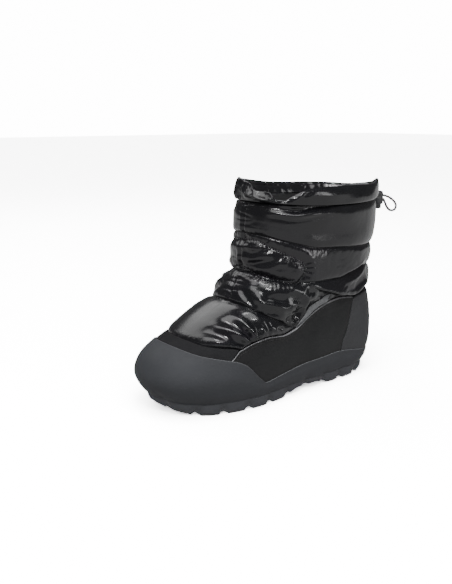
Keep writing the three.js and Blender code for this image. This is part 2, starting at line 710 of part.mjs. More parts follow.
function makeOverlays() {
  const seam = CLEARANCE;
  const quiltEdge = stop(above(quiltLine, -SEAM_DROP));
  const panelTop = (y) => (y < PANEL_FRONT ? -HEIGHT : sideLine(panelTopRows)(y));

  const stripLow = stop((y) => Math.max(tuckLine(y), above(panelTop, seam)(y)));
  const stripEnd = bandEnd(stripLow, quiltEdge, 0, SIDE_ANGLE);
  addPiece(
    "vamp_strip",
    overlay({
      low: stripLow,
      high: quiltEdge,
      from: -stripEnd,
      to: stripEnd,
      rows: 3,
      inner: onLast,
      thickness: () => STRIP_THICKNESS,
    }),
    finishes.softshell,
  );

  const panelLow = stop((y) => Math.max(tuckLine(y), above(counterTop, seam)(y)));
  const panelHigh = stop((y) => Math.min(panelTop(y) - seam, quiltLine(y) - SEAM_DROP));
  const panelFront = bandEnd(panelLow, panelHigh, SIDE_ANGLE, 0.02);
  const panelBack = bandEnd(panelLow, panelHigh, SIDE_ANGLE, Math.PI);
  const sides = [
    { name: "side_panel_outer", from: panelFront, to: panelBack },
    { name: "side_panel_inner", from: mirror(panelBack), to: mirror(panelFront) },
  ];
  for (const { name, from, to } of sides) {
    const geometry = overlay({
      low: panelLow,
      high: panelHigh,
      from,
      to,
      rows: 3,
      inner: onLast,
      thickness: () => PANEL_THICKNESS,
    });
    addPiece(name, geometry, finishes.nubuck);
  }

  const counterLow = stops.tuck;
  const counterHigh = stop(above(counterTop, -seam));
  const counterFront = bandEnd(counterLow, counterHigh, Math.PI, SIDE_ANGLE);
  const bulge = (angle, share) =>
    COUNTER_BULGE * Math.sin(Math.PI * share) * smoothStep(0.4, 0.95, -Math.cos(angle));
  addPiece(
    "heel_counter",
    overlay({
      low: counterLow,
      high: counterHigh,
      from: counterFront,
      to: mirror(counterFront),
      rows: 5,
      inner: onLast,
      thickness: (angle, share) => COUNTER_THICKNESS + bulge(angle, share),
    }),
    finishes.counter,
  );

  const tabLow = stop((y) => (y < PANEL_BACK ? quiltLine(y) : counterTop(y) + seam));
  const tabFront = bandEnd(tabLow, quiltEdge, Math.PI, SIDE_ANGLE);
  addPiece(
    "heel_tab",
    overlay({
      low: tabLow,
      high: quiltEdge,
      from: tabFront,
      to: mirror(tabFront),
      rows: 2,
      inner: onLast,
      thickness: () => TAB_THICKNESS,
    }),
    finishes.softshell,
  );
}

// The bare woven tape along the panel's edge, on the outer side only.
const TAPE = { front: 0.012, back: 0.118 }; // shares of LENGTH
function makeTape() {
  const low = stop(above(quiltLine, CLEARANCE));
  const high = stop(above(quiltLine, CLEARANCE + TAPE_WIDTH));
  const baffle = baffles.find(({ from }) => from === "throat");
  const onPuff = (angle, share, level) => {
    const start = stops.throat(angle);
    const part = (level - start) / (stops.ankle(angle) - start);
    return 2 * CURVED_CLEARANCE + puffAt(baffle, Math.min(Math.max(part, 0), 1), angle);
  };
  const place = (along) => {
    const shape = levelShape(low(SIDE_ANGLE));
    return angleAt((along - shape.front) / (shape.back - shape.front));
  };
  const geometry = overlay({
    low,
    high,
    from: place(TAPE.front),
    to: place(TAPE.back),
    rows: 5,
    inner: onPuff,
    thickness: () => TAPE_THICKNESS,
  });
  addPiece("side_tape", geometry, finishes.webbing);
}

// The collar: a gathered cuff that laps over the upper's top edge.
const rimLine = (y, angle) => through(rimRows, "turn", "up", angle / (2 * Math.PI)) * HEIGHT;
function makeCollar() {
  const gather = (angle) => GATHER_DEPTH * Math.sin(GATHERS * angle);
  const cuffEdge = stops.cuff;
  const seat = stop(above(upperTop, CLEARANCE));
  const rim = stop(rimLine);
  const profile = [
    { level: cuffEdge, offset: CURVED_CLEARANCE, wave: 0 },
    { level: cuffEdge, offset: CURVED_CLEARANCE + COLLAR_SKIRT, wave: 0.4 },
    { level: between(cuffEdge, rim, 0.3), offset: COLLAR_PROUD, wave: 1 },
    { level: between(cuffEdge, rim, 0.7), offset: COLLAR_PROUD * 0.9, wave: 1 },
    { level: between(cuffEdge, rim, 0.95), offset: COLLAR_PROUD * 0.4, wave: 1 },
    { level: rim, offset: -COLLAR_INSIDE * 0.2, wave: 0.8 },
    { level: between(cuffEdge, rim, 0.92), offset: -COLLAR_INSIDE * 0.8, wave: 0.6 },
    { level: between(cuffEdge, rim, 0.6), offset: -COLLAR_INSIDE, wave: 0.4 },
    { level: seat, offset: -UPPER_WALL, wave: 0 },
    { level: seat, offset: CURVED_CLEARANCE, wave: 0 },
  ];
  const rings = profile.map(({ level, offset, wave }) =>
    ringOf(roundAngles, level, (angle) => offset + wave * gather(angle)),
  );
  addPiece("collar", skin(rings, "joined"), finishes.nylon);
}

// The cord lock hangs behind the collar, upright, with its button below.
const collarBack = skinPoint(stops.cuff(Math.PI), Math.PI, COLLAR_PROUD);
const LOCK_SIDE = 8; // how far the lock hangs to the outer side
const LOCK_DROP = 5; // its middle below the cuff's lower edge
const LOCK_AWAY = 14.2; // its axis behind the collar
const lockMiddle = new THREE.Vector3(LOCK_SIDE, collarBack.y + LOCK_AWAY, collarBack.z - LOCK_DROP);
const slotHeight = CORD_SPACING + CORD_DIAMETER + 2 * CORD_CLEARANCE;
const slotWidth = CORD_DIAMETER + 2 * CORD_CLEARANCE;
const slotLength = 2 * LOCK_DIAMETER; // right through

function lathe(rows, sides) {
  const profile = rows.map(([radius, height]) => new THREE.Vector2(radius, height));
  return new THREE.LatheGeometry(profile, sides).rotateX(Math.PI / 2);
}

function makeLock() {
  const radius = LOCK_DIAMETER / 2;
  const buttonRadius = BUTTON_DIAMETER / 2;
  const barrel = toSolid(
    lathe(
      [
        [0, 0],
        [radius - LOCK_EDGE / 3, 0],
        [radius, LOCK_EDGE / 2],
        [radius, LOCK_LENGTH - LOCK_EDGE],
        [radius - LOCK_EDGE / 3, LOCK_LENGTH - LOCK_EDGE / 3],
        [radius - LOCK_EDGE, LOCK_LENGTH],
        [0, LOCK_LENGTH],
      ],
      LOCK_SIDES,
    ),
  );
  const bore = new THREE.CylinderGeometry(
    buttonRadius + CLEARANCE,
    buttonRadius + CLEARANCE,
    2 * (BUTTON_INSIDE + BUTTON_TRAVEL + CLEARANCE),
    LOCK_SIDES,
  ).rotateX(Math.PI / 2);
  const slot = new THREE.BoxGeometry(slotWidth, slotLength, slotHeight);
  slot.translate(0, 0, LOCK_LENGTH / 2);
  const body = fromSolid(barrel.subtract(toSolid(bore)).subtract(toSolid(slot)));

  const stem = toSolid(
    lathe(
      [
        [0, -BUTTON_STANDS_OUT],
        [buttonRadius - LOCK_EDGE / 3, -BUTTON_STANDS_OUT],
        [buttonRadius, -BUTTON_STANDS_OUT + LOCK_EDGE / 3],
        [buttonRadius, BUTTON_INSIDE],
        [0, BUTTON_INSIDE],
      ],
      LOCK_SIDES,
    ),
  );
  const forkBottom = (LOCK_LENGTH - slotHeight) / 2 - BUTTON_TRAVEL;
  const forkSlot = new THREE.BoxGeometry(slotWidth, slotLength, LOCK_LENGTH);
  forkSlot.translate(0, 0, forkBottom + LOCK_LENGTH / 2);
  const button = fromSolid(stem.subtract(toSolid(forkSlot)));

  for (const [name, geometry] of [
    ["cord_lock_body", body],
    ["cord_lock_button", button],
  ]) {
    geometry.translate(lockMiddle.x, lockMiddle.y, lockMiddle.z - LOCK_LENGTH / 2);
    addPiece(name, geometry, finishes.plastic);
  }
}

// The drawcord: out of the cuff, through the lock, round in a loop and back. Its points are
// places from the middle of the lock.
const cordPoints = [
  [2.4, -14.2, 7.4],
  [1.9, -12, 6],
  [1.1, -9.8, 4],
  [0.4, -7.4, 2.2],
  [0, -4, 1.7],
  [0, 1, 1.7],
  [0, 6, 1.7],
  [0, 10, 1.5],
  [0.1, 15, 0.4],
  [0.3, 20, -1.6],
  [0.5, 25, -4.4],
  [0.7, 29, -7.8],
  [0.6, 31.2, -11.8],
  [0.2, 30, -15.5],
  [-0.4, 26, -16.8],
  [-0.8, 21, -15.4],
  [-0.7, 16.5, -11.4],
  [-0.4, 13, -6.8],
  [-0.1, 10, -3],
  [0, 6, -1.7],
  [0, 1, -1.7],
  [0, -4, -1.7],
  [-0.6, -7.4, -0.8],
  [-1.6, -9.8, 1.4],
  [-2.4, -12, 4.2],
  [-2.8, -14.2, 6.2],
];
function makeCord() {
  const points = cordPoints.map((point) => new THREE.Vector3(...point).add(lockMiddle));
  const path = new THREE.CatmullRomCurve3(points);
  const section = new THREE.Shape();
  section.absarc(0, 0, CORD_DIAMETER / 2, 0, 2 * Math.PI);
  const geometry = new THREE.ExtrudeGeometry(section, {
    steps: 34,
    curveSegments: 4,
    extrudePath: path,
  });
  addPiece("draw_cord", geometry, finishes.cord);
}

// The origin is on the floor under the middle of the boot, its cord and lock left out.
function centre() {
  const box = new THREE.Box3();
  for (const piece of boot.children) {
    if (!piece.name.includes("cord")) box.expandByObject(piece);
  }
  const middle = box.getCenter(new THREE.Vector3());
  boot.position.set(-middle.x, -middle.y, 0);
}

makeOutsole();
makeCupSole();
makeInsole();
makeUpper();
makeOverlays();
makeTape();
makeCollar();
makeLock();
makeCord();
centre();

export default boot;
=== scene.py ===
"""Dresses the apres ski boot: quilted nylon upper, matte panels, rubber cup sole, drawcord.

Working sizes are millimetres on the boot's own last, which the frame's solids follow, and turn
into metres as each mesh is made.
"""

from __future__ import annotations

import logging
import math
from dataclasses import dataclass, field
from enum import Enum
from typing import Callable, NamedTuple, Sequence

import bmesh
import bpy
import numpy as np
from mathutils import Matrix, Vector
from mathutils.bvhtree import BVHTree

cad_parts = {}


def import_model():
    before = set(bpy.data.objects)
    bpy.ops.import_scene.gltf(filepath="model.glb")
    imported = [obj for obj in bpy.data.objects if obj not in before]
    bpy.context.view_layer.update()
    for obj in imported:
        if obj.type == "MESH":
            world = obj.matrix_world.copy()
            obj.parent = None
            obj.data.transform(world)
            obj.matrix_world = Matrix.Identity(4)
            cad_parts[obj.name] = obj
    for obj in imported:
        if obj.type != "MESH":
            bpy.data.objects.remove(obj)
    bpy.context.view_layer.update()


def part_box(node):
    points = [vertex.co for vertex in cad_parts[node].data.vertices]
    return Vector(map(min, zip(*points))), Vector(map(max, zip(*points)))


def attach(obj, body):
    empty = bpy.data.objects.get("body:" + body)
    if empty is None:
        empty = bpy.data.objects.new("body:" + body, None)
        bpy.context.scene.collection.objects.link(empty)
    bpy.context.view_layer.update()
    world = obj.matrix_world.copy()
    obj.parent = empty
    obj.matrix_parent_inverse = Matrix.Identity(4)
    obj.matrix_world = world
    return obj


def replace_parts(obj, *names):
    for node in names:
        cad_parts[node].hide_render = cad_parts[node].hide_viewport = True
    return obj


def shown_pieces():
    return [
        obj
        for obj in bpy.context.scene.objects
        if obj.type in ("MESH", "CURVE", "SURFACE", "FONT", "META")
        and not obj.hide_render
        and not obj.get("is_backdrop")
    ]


LOG = logging.getLogger("apres_ski_boot")

Array = np.ndarray
Line = Callable[..., Array]
Range = tuple[float, float]
Colour = tuple[float, float, float]

MM = 0.001
ORIGIN = np.array([0.2966, 1.6501, 0.0])  # from the last's own zero to the frame's origin
TURN = 2 * math.pi

LENGTH = 296.0
HEIGHT = 212.0
HALF_BALL = 56.0
END_ROUNDNESS = 2.35
STATION_BALL, STATION_WAIST, STATION_HEEL = 0.28, 0.6, 0.85
CURVE_REACH, ARCH_REACH = 0.45, 0.22
LEVEL_WALLS = (1.5, 4.0)
TOP_LEVEL = 17.0

OUTSOLE_THICKNESS = 12.0
LUG_DEPTH = 6.5
LUG_PITCH = 27.0
LUG_GAP = 6.0
LUG_REACH = 13.0
GROOVE_DEPTH = 3.0
GROOVE_WIDTH = 4.0
TREAD_BEVEL = 3.0
TOE_SPRING = 11.0
PLATE_SPRING = 0.75
ARCH_RISE = 5.5
ARCH_FULLNESS = 1.4
HEEL_BEVEL = 2.0
FOOTBED_THICKNESS = 4.5
RUBBER_WALL = 5.0
LIP_WALL = 1.7
TUCK = 7.0
INSOLE_THICKNESS = 4.0
UPPER_WALL = 4.0
PUFF = 7.0
FULL_BAND = 3.2 * PUFF
PUFF_ROUNDNESS = 2.4
PANEL_THICKNESS = 2.0
STRIP_THICKNESS = 1.4
COUNTER_THICKNESS = 2.4
COUNTER_BULGE = 0.8
TAB_THICKNESS = 1.4
SEAM_DROP = 0.8
TAPE_WIDTH = 9.0
TAPE_THICKNESS = 1.1
COLLAR_PROUD = 5.5
COLLAR_INSIDE = 6.0
COLLAR_SKIRT = 1.8
LOCK_DIAMETER = 12.0
LOCK_LENGTH = 15.0
LOCK_EDGE = 2.2
BUTTON_DIAMETER = 8.4
BUTTON_STANDS_OUT = 5.0
BUTTON_INSIDE = 9.0
BUTTON_TRAVEL = 3.0
CORD_DIAMETER = 2.8
CORD_SPACING = 3.4
CORD_CLEARANCE = 0.4
CLEARANCE = 0.3
CURVED_CLEARANCE = 0.55
LEAST_BAND = 1.2
PANEL_STACK = 2 * CURVED_CLEARANCE + max(PANEL_THICKNESS, COUNTER_THICKNESS)
LIP = PANEL_STACK + LIP_WALL
SOLE_EDGE = 0.8 * RUBBER_WALL


class ProfileRow(NamedTuple):
    """A level seen from the side, as shares of LENGTH and HEIGHT."""

    name: str
    front: float
    back: float
    front_up: float
    back_up: float


class GirthRow(NamedTuple):
    """A level seen from above, as shares of half the ball's width and of the level's length."""

    ball: float
    waist: float
    heel: float
    arch: float
    toe_round: float
    heel_round: float
    curve: float


PROFILE = (
    ProfileRow("tread", -0.37, 0.414, 0.019, 0.019),
    ProfileRow("welt", -0.42, 0.428, 0.057, 0.057),
    ProfileRow("sidewall", -0.463, 0.447, 0.113, 0.113),
    ProfileRow("toe", -0.483, 0.461, 0.179, 0.179),
    ProfileRow("bumper", -0.468, 0.462, 0.236, 0.264),
    ProfileRow("bumper top", -0.436, 0.457, 0.283, 0.349),
    ProfileRow("toe cap", -0.392, 0.45, 0.316, 0.415),
    ProfileRow("vamp", -0.331, 0.442, 0.349, 0.462),
    ProfileRow("vamp middle", -0.277, 0.438, 0.387, 0.5),
    ProfileRow("vamp top", -0.226, 0.436, 0.4245, 0.538),
    ProfileRow("throat", -0.182, 0.437, 0.462, 0.571),
    ProfileRow("instep", -0.14, 0.441, 0.519, 0.613),
    ProfileRow("ankle", -0.11, 0.445, 0.585, 0.66),
    ProfileRow("shaft", -0.1, 0.455, 0.66, 0.717),
    ProfileRow("calf", -0.096, 0.46, 0.755, 0.792),
    ProfileRow("below cuff", -0.086, 0.463, 0.849, 0.868),
    ProfileRow("cuff", -0.078, 0.466, 0.925, 0.934),
    ProfileRow("rim", -0.068, 0.469, 1.04, 1.04),
)
GIRTH = (
    GirthRow(0.75, 0.62, 0.56, 0.08, 0.36, 0.2, 0.07),
    GirthRow(0.83, 0.69, 0.62, 0.08, 0.35, 0.2, 0.07),
    GirthRow(0.905, 0.775, 0.7, 0.07, 0.32, 0.2, 0.07),
    GirthRow(0.93, 0.83, 0.73, 0.06, 0.3, 0.2, 0.07),
    GirthRow(0.905, 0.83, 0.74, 0.05, 0.3, 0.21, 0.07),
    GirthRow(0.86, 0.8, 0.73, 0.04, 0.31, 0.22, 0.06),
    GirthRow(0.825, 0.785, 0.715, 0.03, 0.33, 0.24, 0.05),
    GirthRow(0.8, 0.785, 0.715, 0.02, 0.35, 0.27, 0.04),
    GirthRow(0.8, 0.785, 0.72, 0.01, 0.38, 0.3, 0.03),
    GirthRow(0.81, 0.8, 0.74, 0.0, 0.41, 0.34, 0.02),
    GirthRow(0.83, 0.82, 0.77, 0.0, 0.44, 0.38, 0.01),
    GirthRow(0.86, 0.86, 0.81, 0.0, 0.47, 0.42, 0.0),
    GirthRow(0.865, 0.865, 0.83, 0.0, 0.5, 0.46, 0.0),
    GirthRow(0.875, 0.875, 0.86, 0.0, 0.52, 0.5, 0.0),
    GirthRow(0.88, 0.88, 0.87, 0.0, 0.52, 0.5, 0.0),
    GirthRow(0.88, 0.88, 0.87, 0.0, 0.52, 0.5, 0.0),
    GirthRow(0.875, 0.875, 0.87, 0.0, 0.52, 0.5, 0.0),
    GirthRow(0.865, 0.865, 0.86, 0.0, 0.52, 0.5, 0.0),
)


def smooth_step(start: float, end: float, at: Array) -> Array:
    """Rise from 0 at start to 1 at end."""
    share = np.clip((np.asarray(at, float) - start) / (end - start), 0.0, 1.0)
    return share * share * (3.0 - 2.0 * share)


class Curve:
    """A curve through a table's rows that doesn't overshoot between two of them."""

    def __init__(self, places: Sequence[float], values: Sequence[float]) -> None:
        """Work out the slopes at the rows."""
        self.x = np.asarray(places, float)
        self.y = np.asarray(values, float)
        self.rise = np.diff(self.y) / np.diff(self.x)
        before, after = self.rise[:-1], self.rise[1:]
        both = before * after
        total = np.where(both > 0, before + after, 1.0)
        middle = np.where(both > 0, 2 * both / total, 0.0)
        self.slope = np.concatenate([self.rise[:1], middle, self.rise[-1:]])

    def __call__(self, at: Array) -> Array:
        """Read the curve, straight on past its ends."""
        at = np.asarray(at, float)
        i = np.clip(np.searchsorted(self.x, at, side="left") - 1, 0, len(self.x) - 2)
        step = self.x[i + 1] - self.x[i]
        s = (at - self.x[i]) / step
        ease = s * s * (3 - 2 * s)
        inside = (
            self.y[i] * (1 - ease)
            + self.y[i + 1] * ease
            + self.slope[i] * s * (1 - s) ** 2 * step
            - self.slope[i + 1] * s * s * (1 - s) * step
        )
        below = self.y[0] + self.rise[0] * (at - self.x[0])
        above = self.y[-1] + self.rise[-1] * (at - self.x[-1])
        return np.where(at < self.x[0], below, np.where(at > self.x[-1], above, inside))


class Last:
    """The boot's inner form: a point for each level from the floor up and each angle round it."""

    def __init__(self) -> None:
        """Turn the tables into curves over the level."""
        rows = range(len(PROFILE))
        self.curves = {
            name: Curve(rows, [getattr(row, name) for row in table])
            for table in (PROFILE, GIRTH)
            for name in table[0]._fields
            if name != "name"
        }

    def point(self, level: Array, angle: Array) -> Array:
        """Give the place at a level and an angle: 0 the toe, a quarter turn the outer side."""
        level, angle = np.broadcast_arrays(np.asarray(level, float), np.asarray(angle, float))
        shape = {name: curve(level) for name, curve in self.curves.items()}
        along = (1 - np.cos(angle)) / 2
        inner = np.sin(angle) < 0
        ends = self._round(along / shape["toe_round"]) * self._round((1 - along) / shape["heel_round"])
        to_waist = smooth_step(STATION_BALL, STATION_WAIST, along)
        to_heel = smooth_step(STATION_WAIST, STATION_HEEL, along)
        girth = shape["ball"] + (shape["waist"] - shape["ball"]) * to_waist
        girth = girth + (shape["heel"] - shape["waist"]) * to_heel
        arch = np.where(inner, shape["arch"] * np.exp(-(((along - STATION_WAIST) / ARCH_REACH) ** 2)), 0)
        lean = shape["curve"] * HALF_BALL * np.clip(1 - along / CURVE_REACH, 0, None) ** 2
        side = np.where(inner, -1.0, 1.0)
        x = side * girth * HALF_BALL * ends * (1 - arch) - lean
        y = (shape["front"] + (shape["back"] - shape["front"]) * along) * LENGTH
        z = (shape["front_up"] + (shape["back_up"] - shape["front_up"]) * along) * HEIGHT
        return np.stack([x, y, z], -1)

    @staticmethod
    def _round(share: Array) -> Array:
        """Give a round end's width at a share of its reach."""
        rest = 1 - np.clip(share, 0, 1)
        return (1 - rest**END_ROUNDNESS) ** (1 / END_ROUNDNESS)

    def outward(self, level: Array, angle: Array) -> Array:
        """Give the way out of the last, which is level beside the sole."""
        step = 0.02
        level = np.asarray(level, float)
        round_about = self.point(level, angle + step) - self.point(level, angle - step)
        up = np.minimum(level + step, TOP_LEVEL)
        down = np.maximum(level - step, 0.0)
        rise = self.point(up, angle) - self.point(down, angle)
        normal = np.cross(round_about, rise)
        normal /= np.linalg.norm(normal, axis=-1, keepdims=True)
        normal[..., 2] *= smooth_step(*LEVEL_WALLS, level)
        return normal / np.linalg.norm(normal, axis=-1, keepdims=True)

    def skin(self, level: Array, angle: Array, offset: Array) -> Array:
        """Give the place at a distance outside the last."""
        return self.point(level, angle) + self.outward(level, angle) * np.asarray(offset, float)[..., None]

    def level_at(self, line: Line, angle: Array) -> Array:
        """Find the level at which each column crosses a line of heights."""
        angle = np.asarray(angle, float)
        low = np.zeros_like(angle)
        high = np.full_like(angle, TOP_LEVEL)
        for _ in range(26):
            middle = (low + high) / 2
            place = self.point(middle, angle)
            under = place[..., 2] < line(place[..., 1], angle)
            low = np.where(under, middle, low)
            high = np.where(under, high, middle)
        return (low + high) / 2


LineRows = Sequence[tuple[float, float]]

# Lines seen from the side: (along as a share of LENGTH, up as a share of HEIGHT).
COVER: LineRows = (
    (-0.43, 0.33), (-0.414, 0.313), (-0.392, 0.3), (-0.366, 0.288), (-0.333, 0.277), (-0.295, 0.265),
    (-0.258, 0.252), (-0.225, 0.231),
    (-0.196, 0.193), (-0.169, 0.156), (-0.139, 0.127), (-0.088, 0.137), (-0.024, 0.151),
    (0.049, 0.164), (0.108, 0.168), (0.203, 0.173), (0.27, 0.164), (0.338, 0.146), (0.432, 0.12),
)
PANEL_TOP: LineRows = (
    (-0.297, 0.236), (-0.267, 0.264), (-0.23, 0.3), (-0.172, 0.323), (-0.118, 0.332),
    (-0.054, 0.327), (0.0, 0.341), (0.064, 0.387), (0.118, 0.423), (0.176, 0.445),
    (0.218, 0.45), (0.274, 0.441), (0.294, 0.436),
)
STRIP_TOP: LineRows = (
    (-0.385, 0.349), (-0.371, 0.342), (-0.355, 0.334), (-0.341, 0.327), (-0.303, 0.318), (-0.253, 0.309),
    (-0.23, 0.3),
)
COUNTER_TOP: LineRows = (
    (0.223, 0.1), (0.23, 0.156), (0.236, 0.203), (0.257, 0.264), (0.28, 0.354), (0.297, 0.428),
    (0.338, 0.436), (0.47, 0.443),
)
TAB_TOP: LineRows = ((0.294, 0.436), (0.338, 0.458), (0.389, 0.476), (0.47, 0.495))
THROAT: LineRows = ((-0.21, 0.505), (-0.169, 0.472), (-0.1, 0.415), (0.0, 0.345))
ANKLE: LineRows = (
    (-0.17, 0.63), (-0.09, 0.6), (0.0, 0.558), (0.2, 0.555), (0.318, 0.58), (0.47, 0.592),
)
CALF: LineRows = (
    (-0.12, 0.8), (0.02, 0.74), (0.088, 0.717), (0.182, 0.708), (0.328, 0.694), (0.47, 0.69),
)
CUFF: LineRows = ((-0.1, 0.935), (0.07, 0.915), (0.27, 0.91), (0.49, 0.925))
# The collar's rim: (share of a full turn from the toe over the outer side, up).
RIM: LineRows = (
    (0.0, 1.02), (0.03, 0.985), (0.068, 0.978), (0.085, 0.945), (0.1, 0.94), (0.125, 0.962), (0.16, 0.992),
    (0.2, 1.0), (0.27, 1.0),
    (0.35, 0.995), (0.425, 1.012), (0.47, 0.99), (0.55, 0.97), (0.62, 0.975), (0.75, 0.985), (0.86, 1.015),
    (0.95, 1.035), (1.0, 1.02),
)
PANEL_FRONT = PANEL_TOP[0][0] * LENGTH
PANEL_TIP = STRIP_TOP[-1][0] * LENGTH
PANEL_BACK = TAB_TOP[0][0] * LENGTH
# Where the ground line leaves the floor, as shares of LENGTH.
GROUND = {"toe": -0.324, "tip": -0.463, "arch": -0.05, "arch end": 0.225, "heel": 0.425, "heel end": 0.46}


def side_line(rows: LineRows) -> Line:
    """Turn a table into a height for each place along the boot.

    Args:
        rows: The line's places along and up, as shares.

    Returns:
        A function of the place along, in millimetres.
    """
    curve = Curve([row[0] for row in rows], [row[1] for row in rows])
    return lambda y, angle=None: curve(y / LENGTH) * HEIGHT


def above(line: Line, distance: float) -> Line:
    """Give a line at a distance over another one, measured square to it."""
    step = 0.5

    def higher(y: Array, angle: Array | None = None) -> Array:
        """Read the line."""
        slope = (line(y + step, angle) - line(y - step, angle)) / (2 * step)
        return line(y, angle) + distance * np.hypot(1, slope)

    return higher


def towards(start: str, end: str, y: Array) -> Array:
    """Give how far a place lies from one of the ground line's marks to another, from 0 up."""
    return np.clip((y / LENGTH - GROUND[start]) / (GROUND[end] - GROUND[start]), 0, None)


def ground_line(y: Array, angle: Array | None = None) -> Array:
    """Give the height of the tread over the floor: sprung toe, arch and bevelled heel."""
    arch = np.minimum(towards("arch", "arch end", y), 1)
    toe = TOE_SPRING * towards("toe", "tip", y) ** 2
    heel = HEEL_BEVEL * towards("heel", "heel end", y) ** 2
    return toe + heel + ARCH_RISE * np.minimum(1, ARCH_FULLNESS * np.sin(np.pi * arch) ** 2)


def plate_top(y: Array, angle: Array | None = None) -> Array:
    """Give the top of the tread's plate."""
    return OUTSOLE_THICKNESS + PLATE_SPRING * TOE_SPRING * towards("toe", "tip", y) ** 2


def cup_bottom(y: Array, angle: Array | None = None) -> Array:
    """Give the underside of the cup sole."""
    return plate_top(y) + CLEARANCE


def footbed(y: Array, angle: Array | None = None) -> Array:
    """Give the top of the cup sole's floor."""
    return cup_bottom(y) + FOOTBED_THICKNESS


def insole_top(y: Array, angle: Array | None = None) -> Array:
    """Give the top of the insole."""
    return footbed(y) + CLEARANCE + INSOLE_THICKNESS


cover_line = side_line(COVER)
counter_top = side_line(COUNTER_TOP)
panel_top_line = side_line(PANEL_TOP)
strip_top_line = side_line(STRIP_TOP)
tab_top_line = side_line(TAB_TOP)
ankle_line = side_line(ANKLE)
calf_line = side_line(CALF)
cuff_line = side_line(CUFF)
rim_curve = Curve([row[0] for row in RIM], [row[1] for row in RIM])


def tuck_line(y: Array, angle: Array | None = None) -> Array:
    """Give the line to which the panels run down inside the cup sole."""
    return np.maximum(cover_line(y) - TUCK, insole_top(y) + LEAST_BAND)


def quilt_line(y: Array, angle: Array | None = None) -> Array:
    """Give the line where the quilting starts: strip, panel and heel tab in turn."""
    front = np.where(y < PANEL_TIP, strip_top_line(y), panel_top_line(y))
    return np.where(y < PANEL_BACK, front, tab_top_line(y))


def throat_line(y: Array, angle: Array | None = None) -> Array:
    """Give the seam between the vamp's puff and the instep's."""
    return np.maximum(side_line(THROAT)(y), quilt_line(y) + LEAST_BAND)


def rim_line(y: Array, angle: Array) -> Array:
    """Give the collar's upper edge, which depends on the angle."""
    return rim_curve(angle / TURN) * HEIGHT


upper_top = above(cuff_line, 2 * COLLAR_SKIRT)


class Noise:
    """Smooth noise in two directions, the same on each run."""

    SIZE = 256

    def __init__(self, seed: int) -> None:
        """Choose a direction for each corner of the lattice."""
        self.turns = np.random.default_rng(seed).uniform(0, TURN, (self.SIZE, self.SIZE))

    def __call__(self, u: Array, v: Array, around: int | None = None) -> Array:
        """Read the noise.

        Args:
            u: Places in the first direction, in cells.
            v: Places in the second direction, in cells.
            around: Cells after which the first direction starts again.

        Returns:
            Values of about -1 to 1.
        """
        period = around or self.SIZE
        i, j = np.floor(u).astype(int), np.floor(v).astype(int)
        s, t = u - i, v - j
        total = 0.0
        for di, dj in ((0, 0), (1, 0), (0, 1), (1, 1)):
            turn = self.turns[(i + di) % period, (j + dj) % self.SIZE]
            slope = np.cos(turn) * (s - di) + np.sin(turn) * (t - dj)
            total = total + slope * self._fade(s - di) * self._fade(t - dj)
        return total * 1.5

    @staticmethod
    def _fade(distance: Array) -> Array:
        """Give a corner's weight at a distance of up to one cell."""
        rest = 1 - np.abs(distance)
        return rest**3 * (rest * (rest * 6 - 15) + 10)


def creases(noise: Noise, u: Array, v: Array, around: int | None = None) -> Array:
    """Give sharp valleys between round ridges, from -1 to 1."""
    return 2 * np.abs(noise(u, v, around)) ** 0.7 - 1


LAST = Last()


def even_angles(count: int, level: float) -> Array:
    """Divide a level's outline evenly, the same on both sides.

    Args:
        count: How many columns go round, an even number.
        level: The level whose outline is divided.

    Returns:
        The columns' angles, from the toe over the outer side.
    """
    fine = np.linspace(0, np.pi, 1441)
    steps = np.linalg.norm(np.diff(LAST.point(level, fine), axis=0), axis=1)
    length = np.concatenate([[0], np.cumsum(steps)])
    half = np.interp(np.linspace(0, length[-1], count // 2 + 1), length, fine)
    return np.concatenate([half, TURN - half[-2:0:-1]])


class Stops:
    """The levels at which a set of columns meets each line."""

    def __init__(self, angles: Array) -> None:
        """Keep the columns."""
        self.angles = angles
        self.known: dict[int, Array] = {}

    def __call__(self, line: Line) -> Array:
        """Give each column's level at a line."""
        key = id(line)
        if key not in self.known:
            self.known[key] = LAST.level_at(line, self.angles)
        return self.known[key]


def between(low: Array, high: Array, share: float) -> Array:
    """Give levels between two others."""
    return low + (high - low) * share


@dataclass(frozen=True)
class Band:
    """A baffle between two lines, and how full it is."""

    name: str
    low: Line
    high: Line
    rows: int
    puff: float
    sag: float = 0.0


def puff_height(band: Band, share: Array, height: Array) -> Array:
    """Give how far a baffle stands out: steep beside its seams and flat in the middle."""
    full = smooth_step(0, FULL_BAND, height)
    crown = 1 - np.abs(2 * share - 1) ** PUFF_ROUNDNESS
    return PUFF * band.puff * full * np.sqrt(np.clip(crown, 0, None))


class Side(Enum):
    """The side of the boot that a fold is on."""

    OUTER = 1
    INNER = -1


class Crease(Enum):
    """The kinds of fold."""

    SOFT = "a trough, or a ridge where its depth is negative"
    FAN = "sharp at its first place, wide and faint at its last"
    LAP = "cloth above the line that laps over the cloth below"


class Fold(NamedTuple):
    """A listed fold: its places are (share of a turn from the toe, up)."""

    side: Side
    depth: float
    width: float
    places: tuple[tuple[float, float], ...]
    kind: Crease = Crease.SOFT


